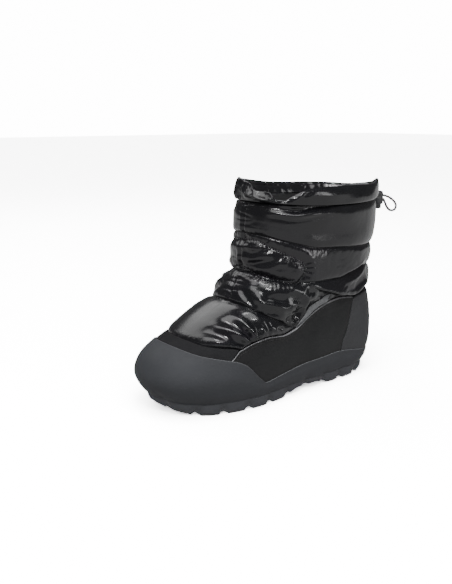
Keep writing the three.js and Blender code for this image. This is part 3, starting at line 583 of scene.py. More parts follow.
def path_through(places: Sequence[Sequence[float]], steps: int) -> Array:
    """Give a smooth path through places in any number of directions.

    Args:
        places: The places, in order.
        steps: How many points lie on each stretch between two places.

    Returns:
        The path's points, the last place included.
    """
    p = np.asarray(places, float)
    if len(p) == 2:
        return p[0] + (p[1] - p[0]) * np.linspace(0, 1, steps + 1)[:, None]
    p = np.vstack([2 * p[0] - p[1], p, 2 * p[-1] - p[-2]])
    t = np.linspace(0, 1, steps, endpoint=False)[:, None]
    parts = []
    for a, b, c, d in zip(p[:-3], p[1:-2], p[2:-1], p[3:]):
        curve = 2 * b + (c - a) * t + (2 * a - 5 * b + 4 * c - d) * t**2 + (3 * b - a - 3 * c + d) * t**3
        parts.append(curve / 2)
    return np.vstack([*parts, p[-2][None]])


def on_last(side: Side, places: Sequence[tuple[float, float]], steps: int = 6) -> Array:
    """Lay a path on the last.

    Args:
        side: The side of the boot.
        places: (Share of a turn from the toe, height as a share of HEIGHT) in order.
        steps: How many points lie between two places.

    Returns:
        The path's points in millimetres.
    """
    path = path_through(places, steps)
    turn = path[:, 0] if side is Side.OUTER else 1 - path[:, 0]
    angle = turn * TURN
    height = path[:, 1] * HEIGHT
    level = LAST.level_at(lambda y, _: height, angle)
    return LAST.point(level, angle)


class Nearness(NamedTuple):
    """How surface points lie beside a path: which ones, how far, on which side, how far along."""

    index: Array
    distance: Array
    signed: Array
    along: Array
    share: Array


def beside(path: Array, points: Array, normals: Array, reach: float) -> Nearness:
    """Measure surface points against a path.

    Args:
        path: The path's points.
        points: The surface's points, one a row.
        normals: The way out at each point.
        reach: How far from the path counts.

    Returns:
        The points within reach and their places beside the path.
    """
    low, high = path.min(0) - reach, path.max(0) + reach
    index = np.flatnonzero(np.all((points > low) & (points < high), axis=1))
    near = points[index]
    a, b = path[:-1], path[1:]
    step = b - a
    length = np.linalg.norm(step, axis=1)
    start = np.concatenate([[0], np.cumsum(length)])
    best = np.full(len(near), 1e9)
    which = np.zeros(len(near), int)
    share = np.zeros(len(near))
    for k in range(len(a)):
        t = np.clip((near - a[k]) @ step[k] / max(length[k] ** 2, 1e-9), 0, 1)
        gap = np.linalg.norm(near - a[k] - t[:, None] * step[k], axis=1)
        closer = gap < best
        best = np.where(closer, gap, best)
        which = np.where(closer, k, which)
        share = np.where(closer, t, share)
    keep = best < reach
    index, best, which, share, near = index[keep], best[keep], which[keep], share[keep], near[keep]
    across = np.cross(step[which], normals[index])
    side = np.sign(np.sum((near - a[which]) * across, axis=1))
    along = start[which] + share * length[which]
    return Nearness(index, best, best * side, along, along / start[-1])


def fold_height(fold: Fold, near: Nearness) -> Array:
    """Give how far a fold lifts the cloth beside its line."""
    share = np.clip(near.share, 0.02, 0.98)
    taper = np.sin(np.pi * share) ** 0.8
    if fold.kind is Crease.LAP:
        up = -near.signed * fold.side.value
        return fold.depth * taper**0.6 * np.where(up > 0, np.exp(-((up / (1.6 * fold.width)) ** 2)), np.exp(-(up**2)))
    width = fold.width
    if fold.kind is Crease.FAN:
        taper = smooth_step(0, 0.12, share) * (1 - share)
        width = fold.width * (0.6 + 0.9 * share)
    across = near.signed / width
    return -fold.depth * taper * (np.exp(-(across**2)) - 0.35 * np.exp(-((np.abs(across) - 1.7) ** 2) / 0.5))


def add_mesh(name: str, points: Array, faces: Array, smooth: bool = True) -> bpy.types.Object:
    """Make an object from points in millimetres on the last.

    Args:
        name: The object's name.
        points: The mesh's points, one a row.
        faces: Rows of four point numbers; a triangle repeats its last one.
        smooth: Whether its faces are shaded smooth.

    Returns:
        The new object, linked to the scene.
    """
    mesh = bpy.data.meshes.new(name)
    metres = (points + ORIGIN) * MM
    corner = points[faces]
    volume = np.einsum("ij,ij->i", corner[:, 0], np.cross(corner[:, 1], corner[:, 2])).sum()
    volume += np.einsum("ij,ij->i", corner[:, 0], np.cross(corner[:, 2], corner[:, 3])).sum()
    if volume < 0:
        faces = faces[:, ::-1]
    keep = [tuple(dict.fromkeys(face)) for face in faces.tolist()]
    mesh.from_pydata(metres.tolist(), [], [face for face in keep if len(face) > 2])
    mesh.validate()
    mesh.polygons.foreach_set("use_smooth", np.full(len(mesh.polygons), smooth))
    made = bpy.data.objects.new(name, mesh)
    bpy.context.scene.collection.objects.link(made)
    return made


class Ends(Enum):
    """How the first and last rings of a skin are closed."""

    JOINED = "joined"
    POINT = "across, from a point"
    EDGE = "across, from an edge"


class Surface:
    """A finished piece, for others to be laid on."""

    reach = 30.0

    def __init__(self, piece: bpy.types.Object) -> None:
        """Sort the piece's faces for the search."""
        mesh = piece.data
        self.tree = BVHTree.FromPolygons([v.co for v in mesh.vertices], [tuple(f.vertices) for f in mesh.polygons])

    def height(self, places: Array, ways: Array) -> Array:
        """Find how far outside some places the surface lies.

        Args:
            places: Places on the last, in millimetres.
            ways: The ways out there.

        Returns:
            The surface's distance from each place, in millimetres.
        """
        flat, way = places.reshape(-1, 3), ways.reshape(-1, 3)
        starts = (flat + way * self.reach + ORIGIN) * MM
        hits = [self.tree.ray_cast(Vector(a), Vector(-b))[3] for a, b in zip(starts, way)]
        away = np.array([self.reach if hit is None else hit / MM for hit in hits])
        return (self.reach - away).reshape(places.shape[:-1])

    def under(self, levels: Array, around: Array) -> Array:
        """Find the height at which a stiff patch rests on the surface, which it bridges a little."""
        height = self.height(LAST.point(levels, around), LAST.outward(levels, around))
        for _ in range(6):
            padded = np.pad(height, 1, mode="edge")
            beside_it = (padded[:-2, 1:-1] + padded[2:, 1:-1] + padded[1:-1, :-2] + padded[1:-1, 2:]) / 4
            height = np.maximum(height, beside_it)
        return height + 0.5 * CLEARANCE

    def lay(self, side: Side, places: Sequence[tuple[float, float]], steps: int = 12) -> Array:
        """Lay a path given on the last on the surface itself."""
        path = path_through(places, steps)
        turn = path[:, 0] if side is Side.OUTER else 1 - path[:, 0]
        angle = turn * TURN
        level = LAST.level_at(lambda y, _: path[:, 1] * HEIGHT, angle)
        height = self.height(LAST.point(level, angle), LAST.outward(level, angle))
        return LAST.skin(level, angle, height)


def skin_faces(rings: int, count: int, ends: Ends) -> Array:
    """Give the faces of a skin of rings.

    Args:
        rings: How many rings there are.
        count: How many points each ring has.
        ends: How the end rings are closed.

    Returns:
        Rows of four point numbers.
    """
    rows = np.arange(rings if ends is Ends.JOINED else rings - 1)
    here = (rows * count)[:, None]
    following = (((rows + 1) % rings) * count)[:, None]
    j = np.arange(count)[None]
    k = (j + 1) % count
    faces = [np.stack([here + j, here + k, following + k, following + j], -1).reshape(-1, 4)]
    if ends is not Ends.JOINED:
        first = np.arange(count // 2)
        partner = (count - first) % count if ends is Ends.POINT else count - 1 - first
        after = (count - first - 1) % count if ends is Ends.POINT else count - 2 - first
        keep = after >= first + 1 if ends is Ends.EDGE else np.ones(len(first), bool)
        low = np.stack([partner, after, first + 1, first], -1)[keep]
        top = (rings - 1) * count
        faces += [low, top + low[:, ::-1]]
    return np.concatenate(faces)


def paint(piece: bpy.types.Object, finish: Finish, body: str = "boot") -> bpy.types.Object:
    """Give a piece its finish and its body."""
    piece.data.materials.clear()
    piece.data.materials.append(finish.material())
    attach(piece, body)
    return piece


def keep_value(piece: bpy.types.Object, name: str, values: Array) -> None:
    """Store a number at each point of a piece, for its material to read."""
    layer = piece.data.attributes.new(name, "FLOAT", "POINT")
    layer.data.foreach_set("value", np.asarray(values, np.float32).ravel())


class Pattern(Enum):
    """The patterns that a grain can have."""

    CLOUD = "cloud"
    CELLS = "cells"
    WEAVE = "weave"
    STREAKS = "streaks"


@dataclass(frozen=True)
class Grain:
    """One layer of relief: its pattern, the size of its figure and its depth in millimetres.

    Where it names an attribute of the piece, the relief is as strong as that is.
    """

    pattern: Pattern
    size: float
    depth: float
    stretch: tuple[float, float, float] = (1.0, 1.0, 1.0)
    only: str | None = None


@dataclass(frozen=True)
class Finish:
    """A material: two colours that mingle, a range of roughness, gloss and layers of grain."""

    name: str
    colour: Colour
    worn: Colour
    roughness: Range
    cloud: float = 30.0
    specular: float = 0.5
    coat: float = 0.0
    coat_roughness: float = 0.1
    sheen: float = 0.0
    grains: tuple[Grain, ...] = ()
    # edge: a paler colour near the piece's edges; on the rubber it is a painted highlight along the top edge.
    edge: Colour | None = None
    edge_width: float = 0.6

    def material(self) -> bpy.types.Material:
        """Build the material once, and give it."""
        known = bpy.data.materials.get(self.name)
        return known or self._build()

    def _build(self) -> bpy.types.Material:
        """Build the node tree."""
        made = bpy.data.materials.new(self.name)
        made.use_nodes = True
        tree = made.node_tree
        shader = tree.nodes["Principled BSDF"]
        shader.inputs["Specular IOR Level"].default_value = self.specular
        shader.inputs["Coat Weight"].default_value = self.coat
        shader.inputs["Coat Roughness"].default_value = self.coat_roughness
        shader.inputs["Sheen Weight"].default_value = self.sheen
        place = tree.nodes.new("ShaderNodeTexCoord").outputs["Object"]
        cloud = self._noise(tree, place, self.cloud, 4.0)
        spread = tree.nodes.new("ShaderNodeMapRange")
        spread.inputs["From Min"].default_value = 0.3
        spread.inputs["From Max"].default_value = 0.7
        spread.inputs["To Min"].default_value = self.roughness[0]
        spread.inputs["To Max"].default_value = self.roughness[1]
        tree.links.new(cloud, spread.inputs["Value"])
        tree.links.new(spread.outputs["Result"], shader.inputs["Roughness"])
        tree.links.new(self._colours(tree, place), shader.inputs["Base Color"])
        self._relief(tree, place, shader)
        return made

    def _noise(self, tree: bpy.types.NodeTree, place: bpy.types.NodeSocket, size: float, detail: float):
        """Add a noise whose figure has a size in millimetres, and give its value."""
        noise = tree.nodes.new("ShaderNodeTexNoise")
        noise.inputs["Scale"].default_value = 1 / (size * MM)
        noise.inputs["Detail"].default_value = detail
        tree.links.new(place, noise.inputs["Vector"])
        return noise.outputs["Fac"]

    def _mix(self, tree: bpy.types.NodeTree, share, first, second):
        """Mix two colours, each a value or a socket, and give the result."""
        mix = tree.nodes.new("ShaderNodeMix")
        mix.data_type = "RGBA"
        tree.links.new(share, mix.inputs[0])
        for socket, colour in ((mix.inputs[6], first), (mix.inputs[7], second)):
            if isinstance(colour, tuple):
                socket.default_value = (*colour, 1)
            else:
                tree.links.new(colour, socket)
        return mix.outputs[2]

    def _colours(self, tree: bpy.types.NodeTree, place: bpy.types.NodeSocket):
        """Mingle the two colours, with a paler line near the piece's edges where the finish has one: on the rubber
        this is a painted highlight along its top edge.
        """
        mingled = self._mix(tree, self._noise(tree, place, self.cloud * 0.6, 6.0), self.colour, self.worn)
        if self.edge is None:
            return mingled
        # Paler towards the edge: on the rubber this is a painted highlight line.
        edge = tree.nodes.new("ShaderNodeAttribute")
        edge.attribute_name = "edge"
        near = tree.nodes.new("ShaderNodeMapRange")
        near.inputs["From Min"].default_value = self.edge_width
        near.inputs["From Max"].default_value = self.edge_width * 0.4
        tree.links.new(edge.outputs["Fac"], near.inputs["Value"])
        return self._mix(tree, near.outputs["Result"], mingled, self.edge)

    def _relief(self, tree: bpy.types.NodeTree, place: bpy.types.NodeSocket, shader) -> None:
        """Add the layers of grain, the finest last."""
        normal = None
        for grain in self.grains:
            bump = tree.nodes.new("ShaderNodeBump")
            bump.inputs["Distance"].default_value = grain.depth * MM
            bump.inputs["Strength"].default_value = 1.0
            height = self._figure(tree, place, grain)
            if grain.only:
                height = self._where(tree, grain.only, height)
            tree.links.new(height, bump.inputs["Height"])
            if normal is not None:
                tree.links.new(normal, bump.inputs["Normal"])
            normal = bump.outputs["Normal"]
        if normal is not None:
            tree.links.new(normal, shader.inputs["Normal"])

    @staticmethod
    def _where(tree: bpy.types.NodeTree, name: str, height: bpy.types.NodeSocket):
        """Keep a relief to where an attribute of the piece is strong."""
        strong, product = tree.nodes.new("ShaderNodeAttribute"), tree.nodes.new("ShaderNodeMath")
        strong.attribute_name = name
        product.operation = "MULTIPLY"
        tree.links.new(height, product.inputs[0])
        tree.links.new(strong.outputs["Fac"], product.inputs[1])
        return product.outputs[0]

    def _figure(self, tree: bpy.types.NodeTree, place: bpy.types.NodeSocket, grain: Grain):
        """Add one grain's pattern, and give its height."""
        mapping = tree.nodes.new("ShaderNodeMapping")
        mapping.inputs["Scale"].default_value = [1 / (grain.size * MM * s) for s in grain.stretch]
        tree.links.new(place, mapping.inputs["Vector"])
        vector = mapping.outputs["Vector"]
        if grain.pattern is Pattern.CELLS:
            cells = tree.nodes.new("ShaderNodeTexVoronoi")
            cells.inputs["Scale"].default_value = 1.0
            tree.links.new(vector, cells.inputs["Vector"])
            return cells.outputs["Distance"]
        if grain.pattern is Pattern.WEAVE:
            return self._weave(tree, vector)
        noise = tree.nodes.new("ShaderNodeTexNoise")
        noise.inputs["Scale"].default_value = 1.0
        noise.inputs["Detail"].default_value = 5.0 if grain.pattern is Pattern.CLOUD else 1.5
        tree.links.new(vector, noise.inputs["Vector"])
        return noise.outputs["Fac"]

    def _weave(self, tree: bpy.types.NodeTree, vector: bpy.types.NodeSocket):
        """Add crossing threads, and give their height."""
        heights = []
        for direction in ("DIAGONAL", "Z"):
            wave = tree.nodes.new("ShaderNodeTexWave")
            wave.bands_direction = direction
            wave.inputs["Scale"].default_value = 1 / math.pi
            wave.inputs["Distortion"].default_value = 0.6
            tree.links.new(vector, wave.inputs["Vector"])
            heights.append(wave.outputs["Fac"])
        most = tree.nodes.new("ShaderNodeMath")
        most.operation = "MAXIMUM"
        tree.links.new(heights[0], most.inputs[0])
        tree.links.new(heights[1], most.inputs[1])
        return most.outputs[0]


NYLON = Finish(
    name="glossy nylon",
    colour=(0.0035, 0.0035, 0.0042),
    worn=(0.0055, 0.0055, 0.0065),
    roughness=(0.14, 0.23),
    cloud=22.0,
    specular=0.5,
    coat=0.12,
    coat_roughness=0.1,
    grains=(
        Grain(Pattern.CLOUD, 16.0, 0.22),
        Grain(Pattern.STREAKS, 1.9, 0.9, (1.0, 1.0, 1.7), only="gather"),
        Grain(Pattern.WEAVE, 0.5, 0.008),
    ),
)
LINING = Finish(
    name="brushed lining",
    colour=(0.006, 0.006, 0.0065),
    worn=(0.011, 0.011, 0.012),
    roughness=(0.85, 0.95),
    cloud=6.0,
    specular=0.2,
    sheen=0.15,
    grains=(Grain(Pattern.CLOUD, 1.2, 0.3),),
)
NUBUCK = Finish(
    name="matte nubuck",
    colour=(0.0038, 0.0038, 0.0041),
    worn=(0.006, 0.006, 0.0065),
    roughness=(0.78, 0.9),
    cloud=26.0,
    specular=0.28,
    sheen=0.06,
    grains=(Grain(Pattern.CLOUD, 2.4, 0.08), Grain(Pattern.CELLS, 0.5, 0.03)),
    edge=(0.12, 0.12, 0.126),
    edge_width=1.2,
)
SOFTSHELL = Finish(
    name="matte softshell",
    colour=(0.0085, 0.0085, 0.0092),
    worn=(0.0125, 0.0125, 0.0134),
    roughness=(0.88, 0.98),
    cloud=18.0,
    specular=0.1,
    grains=(Grain(Pattern.CLOUD, 6.0, 0.12), Grain(Pattern.WEAVE, 0.7, 0.05)),
)
COUNTER = Finish(
    name="moulded counter",
    colour=(0.0165, 0.0168, 0.0182),
    worn=(0.0215, 0.0219, 0.0236),
    roughness=(0.62, 0.74),
    cloud=24.0,
    specular=0.36,
    grains=(Grain(Pattern.CELLS, 0.8, 0.04),),
)
RUBBER = Finish(
    name="satin rubber",
    colour=(0.021, 0.0218, 0.0242),
    worn=(0.0265, 0.0275, 0.0305),
    roughness=(0.6, 0.7),
    cloud=40.0,
    specular=0.18,
    grains=(Grain(Pattern.CLOUD, 14.0, 0.1), Grain(Pattern.CELLS, 0.55, 0.022)),
    # painted highlight: the paler edge colour draws a thin lit line along the rubber's top edge
    edge=(0.08, 0.082, 0.088),
    edge_width=0.8,
)
TREAD = Finish(
    name="tread rubber",
    colour=(0.027, 0.028, 0.031),
    worn=(0.035, 0.0362, 0.04),
    roughness=(0.6, 0.7),
    cloud=16.0,
    specular=0.22,
    grains=(Grain(Pattern.CLOUD, 5.0, 0.12), Grain(Pattern.CELLS, 0.6, 0.03)),
)
FOAM = Finish(
    name="footbed cloth",
    colour=(0.012, 0.012, 0.013),
    worn=(0.018, 0.018, 0.019),
    roughness=(0.85, 0.95),
    cloud=10.0,
    specular=0.2,
    sheen=0.1,
    grains=(Grain(Pattern.WEAVE, 0.9, 0.08),),
)
WEBBING = Finish(
    name="woven tape",
    colour=(0.022, 0.0228, 0.0242),
    worn=(0.1, 0.103, 0.106),
    roughness=(0.55, 0.72),
    cloud=2.4,
    specular=0.4,
    sheen=0.15,
    grains=(Grain(Pattern.WEAVE, 0.55, 0.06),),
)
THREAD = Finish(
    name="sewing thread",
    colour=(0.008, 0.008, 0.0085),
    worn=(0.016, 0.016, 0.017),
    roughness=(0.6, 0.75),
    cloud=2.0,
    grains=(Grain(Pattern.STREAKS, 0.3, 0.03),),
)
PLASTIC = Finish(
    name="moulded plastic",
    colour=(0.015, 0.015, 0.016),
    worn=(0.022, 0.022, 0.023),
    roughness=(0.36, 0.5),
    cloud=5.0,
    grains=(Grain(Pattern.CELLS, 0.4, 0.02),),
)
CORD = Finish(
    name="braided cord",
    colour=(0.014, 0.014, 0.015),
    worn=(0.16, 0.16, 0.165),
    roughness=(0.6, 0.75),
    cloud=1.3,
    sheen=0.15,
    grains=(Grain(Pattern.WEAVE, 0.5, 0.08),),
)


class Pucker(NamedTuple):
    """Small gathers along one edge of a baffle, between two shares of a turn from the toe."""

    band: str
    at_top: bool
    start: float
    end: float
    depth: float
    reach: float
    pitch: float


class SeamRow(NamedTuple):
    """A seam sewn into a baffle: its groove, and the gathers beside it."""

    name: str
    depth: float
    width: float
    pucker: float
    reach: float
    pitch: float
    places: tuple[tuple[float, float], ...]


def upper_foot(y: Array, angle: Array | None = None) -> Array:
    """Give the upper's lower edge on the cup sole's floor."""
    return footbed(y) + CLEARANCE


BANDS = (
    Band("foot", upper_foot, tuck_line, 2, 0.0),
    Band("under the panels", tuck_line, quilt_line, 5, 0.0),
    Band("vamp", quilt_line, throat_line, 62, 1.0),
    Band("instep", throat_line, ankle_line, 56, 0.95, sag=0.45),
    Band("ankle", ankle_line, calf_line, 50, 0.65),
    Band("shaft", calf_line, cuff_line, 46, 0.65),
    Band("hem", cuff_line, upper_top, 3, 0.0),
)
PUCKERS = (
    Pucker("shaft", True, 0.0, 0.3, 0.9, 6.0, 11.0),
    Pucker("shaft", False, 0.0, 0.14, 0.3, 5.0, 6.0),
    Pucker("ankle", True, 0.01, 0.27, 0.45, 4.5, 5.0),
    Pucker("ankle", False, 0.0, 0.2, 0.5, 7.0, 6.0),
    Pucker("instep", True, 0.0, 0.24, 0.3, 8.0, 8.0),
    Pucker("instep", True, 0.24, 0.5, 0.3, 8.0, 9.0),
    Pucker("instep", False, 0.08, 0.3, 0.7, 12.0, 9.0),
    Pucker("vamp", True, 0.0, 0.24, 0.4, 8.0, 10.0),
    Pucker("vamp", False, 0.11, 0.24, 0.7, 10.0, 9.0),
)
SEAMS = (
    SeamRow(
        "upper lobe seam", 3.0, 4.2, 1.0, 6.0, 3.4,
        ((0.0, 0.755), (0.044, 0.757), (0.064, 0.744), (0.086, 0.724), (0.107, 0.71),
         (0.135, 0.685), (0.155, 0.668), (0.168, 0.648), (0.175, 0.616), (0.174, 0.585), (0.17, 0.562)),
    ),
    SeamRow(
        "lower lobe seam", 2.6, 3.6, 1.0, 6.0, 3.6,
        ((0.0, 0.626), (0.03, 0.613), (0.061, 0.591), (0.091, 0.577), (0.119, 0.572), (0.15, 0.57)),
    ),
    SeamRow(
        "instep end seam", 2.6, 4.0, 1.3, 9.0, 4.5,
        ((0.182, 0.49), (0.2, 0.47), (0.213, 0.44), (0.226, 0.41), (0.234, 0.375)),
    ),
)
FRONT_SEAM = SeamRow(
    "front seam", 2.4, 1.7, 0.6, 12.0, 6.5,
    ((0.0, 0.92), (0.0, 0.8), (0.0, 0.64), (0.0, 0.58), (0.004, 0.53), (0.008, 0.475)),
)
FOLDS = (
    Fold(Side.OUTER, 3.0, 3.6, ((0.181, 0.327), (0.158, 0.37), (0.127, 0.402), (0.095, 0.427)), Crease.FAN),
    Fold(Side.OUTER, -2.2, 3.4, ((0.178, 0.325), (0.15, 0.362), (0.112, 0.395), (0.07, 0.418)), Crease.FAN),
    Fold(Side.OUTER, 3.2, 3.8, ((0.174, 0.322), (0.15, 0.349), (0.11, 0.38), (0.063, 0.397)), Crease.FAN),
    Fold(Side.OUTER, -2.2, 3.4, ((0.17, 0.32), (0.14, 0.343), (0.1, 0.366), (0.045, 0.378)), Crease.FAN),
    Fold(Side.OUTER, 3.0, 3.8, ((0.165, 0.318), (0.13, 0.334), (0.085, 0.35), (0.03, 0.357)), Crease.FAN),
    Fold(Side.OUTER, 1.8, 2.6, ((0.196, 0.337), (0.183, 0.362), (0.168, 0.382), (0.15, 0.397)), Crease.FAN),
    Fold(Side.OUTER, -1.6, 2.6, ((0.205, 0.345), (0.193, 0.368), (0.18, 0.386)), Crease.FAN),
    Fold(Side.OUTER, 1.8, 2.8, ((0.214, 0.352), (0.203, 0.372), (0.188, 0.386)), Crease.FAN),
    Fold(Side.INNER, 2.8, 3.8, ((0.178, 0.327), (0.15, 0.368), (0.12, 0.4), (0.1, 0.422)), Crease.FAN),
    Fold(Side.INNER, 2.8, 4.0, ((0.17, 0.321), (0.14, 0.35), (0.11, 0.376), (0.085, 0.39)), Crease.FAN),
    Fold(Side.INNER, 2.4, 4.0, ((0.16, 0.318), (0.13, 0.335), (0.1, 0.347)), Crease.FAN),
    Fold(Side.OUTER, 1.8, 4.4, ((0.035, 0.53), (0.05, 0.506), (0.075, 0.487), (0.102, 0.461), (0.127, 0.436))),
    Fold(Side.OUTER, -1.3, 4.0, ((0.05, 0.53), (0.07, 0.5), (0.1, 0.478), (0.13, 0.455))),
    Fold(Side.OUTER, -1.5, 3.6, ((0.109, 0.465), (0.128, 0.46), (0.15, 0.458), (0.17, 0.45), (0.2, 0.425))),
    Fold(Side.OUTER, 1.7, 4.2, ((0.115, 0.445), (0.14, 0.44), (0.165, 0.432), (0.19, 0.405))),
    Fold(Side.OUTER, 1.5, 4.6, ((0.09, 0.5), (0.125, 0.489), (0.15, 0.486), (0.175, 0.49))),
    Fold(Side.OUTER, 2.0, 3.6, ((0.232, 0.385), (0.222, 0.43), (0.205, 0.47), (0.18, 0.51)), Crease.FAN),
    Fold(Side.OUTER, -1.6, 3.2, ((0.24, 0.4), (0.232, 0.44), (0.215, 0.475), (0.195, 0.505)), Crease.FAN),
    Fold(Side.OUTER, 1.6, 3.4, ((0.225, 0.375), (0.208, 0.405), (0.185, 0.43), (0.15, 0.44)), Crease.FAN),
    Fold(Side.OUTER, 4.2, 5.0, ((0.2, 0.545), (0.24, 0.52), (0.28, 0.492), (0.315, 0.468), (0.35, 0.44)), Crease.LAP),
    Fold(Side.OUTER, 2.6, 4.0, ((0.19, 0.53), (0.23, 0.507), (0.27, 0.48), (0.3, 0.458), (0.33, 0.44))),
    Fold(Side.OUTER, 3.2, 4.0, ((0.335, 0.44), (0.355, 0.458), (0.375, 0.477), (0.41, 0.497)), Crease.LAP),
    Fold(Side.OUTER, 3.0, 7.0, ((0.2, 0.375), (0.225, 0.4), (0.245, 0.435), (0.262, 0.472), (0.28, 0.49))),
    Fold(Side.INNER, 1.8, 4.4, ((0.03, 0.53), (0.055, 0.505), (0.08, 0.48), (0.11, 0.455))),
    Fold(Side.INNER, -1.3, 4.0, ((0.05, 0.535), (0.08, 0.51), (0.11, 0.48), (0.14, 0.45))),
    Fold(Side.INNER, 1.8, 4.2, ((0.11, 0.5), (0.14, 0.485), (0.17, 0.47), (0.2, 0.43))),
    Fold(Side.OUTER, 1.3, 3.6, ((0.004, 0.71), (0.034, 0.694), (0.066, 0.702), (0.09, 0.71))),
    Fold(Side.OUTER, -0.9, 3.2, ((0.0, 0.684), (0.034, 0.678), (0.06, 0.686), (0.09, 0.694))),
    Fold(Side.OUTER, 1.2, 4.0, ((0.006, 0.664), (0.045, 0.66), (0.09, 0.672), (0.13, 0.69))),
    Fold(Side.OUTER, 1.1, 3.4, ((0.004, 0.64), (0.045, 0.64), (0.08, 0.645))),
    Fold(Side.INNER, 1.3, 3.8, ((0.0, 0.69), (0.04, 0.68), (0.08, 0.69))),
    Fold(Side.INNER, 1.2, 3.8, ((0.0, 0.655), (0.045, 0.655), (0.09, 0.668))),
    Fold(Side.OUTER, 2.6, 3.0, ((0.06, 0.905), (0.1, 0.9), (0.135, 0.892), (0.17, 0.9), (0.2, 0.905), (0.25, 0.905))),
    Fold(Side.OUTER, -2.0, 3.2, ((0.07, 0.888), (0.1, 0.886), (0.134, 0.876), (0.17, 0.883), (0.21, 0.888))),
    Fold(Side.OUTER, 1.6, 11.0, ((0.05, 0.85), (0.1, 0.835), (0.16, 0.81), (0.25, 0.8), (0.34, 0.815))),
    Fold(Side.OUTER, -1.0, 9.0, ((0.1, 0.87), (0.16, 0.855), (0.24, 0.85), (0.33, 0.86))),
    Fold(Side.OUTER, 1.0, 9.0, ((0.22, 0.665), (0.27, 0.65), (0.33, 0.645))),
    Fold(Side.OUTER, 3.0, 3.4, ((0.29, 0.555), (0.32, 0.562), (0.345, 0.575), (0.37, 0.6))),
    Fold(Side.INNER, 3.6, 5.0, ((0.22, 0.535), (0.26, 0.51), (0.3, 0.48), (0.345, 0.45)), Crease.LAP),
    Fold(Side.INNER, 2.4, 4.0, ((0.21, 0.52), (0.25, 0.495), (0.29, 0.465), (0.33, 0.445))),
    Fold(Side.INNER, 1.8, 3.2, ((0.05, 0.9), (0.1, 0.895), (0.16, 0.89), (0.2, 0.9))),
    Fold(Side.INNER, 1.5, 11.0, ((0.05, 0.84), (0.12, 0.815), (0.2, 0.79), (0.3, 0.8))),
)


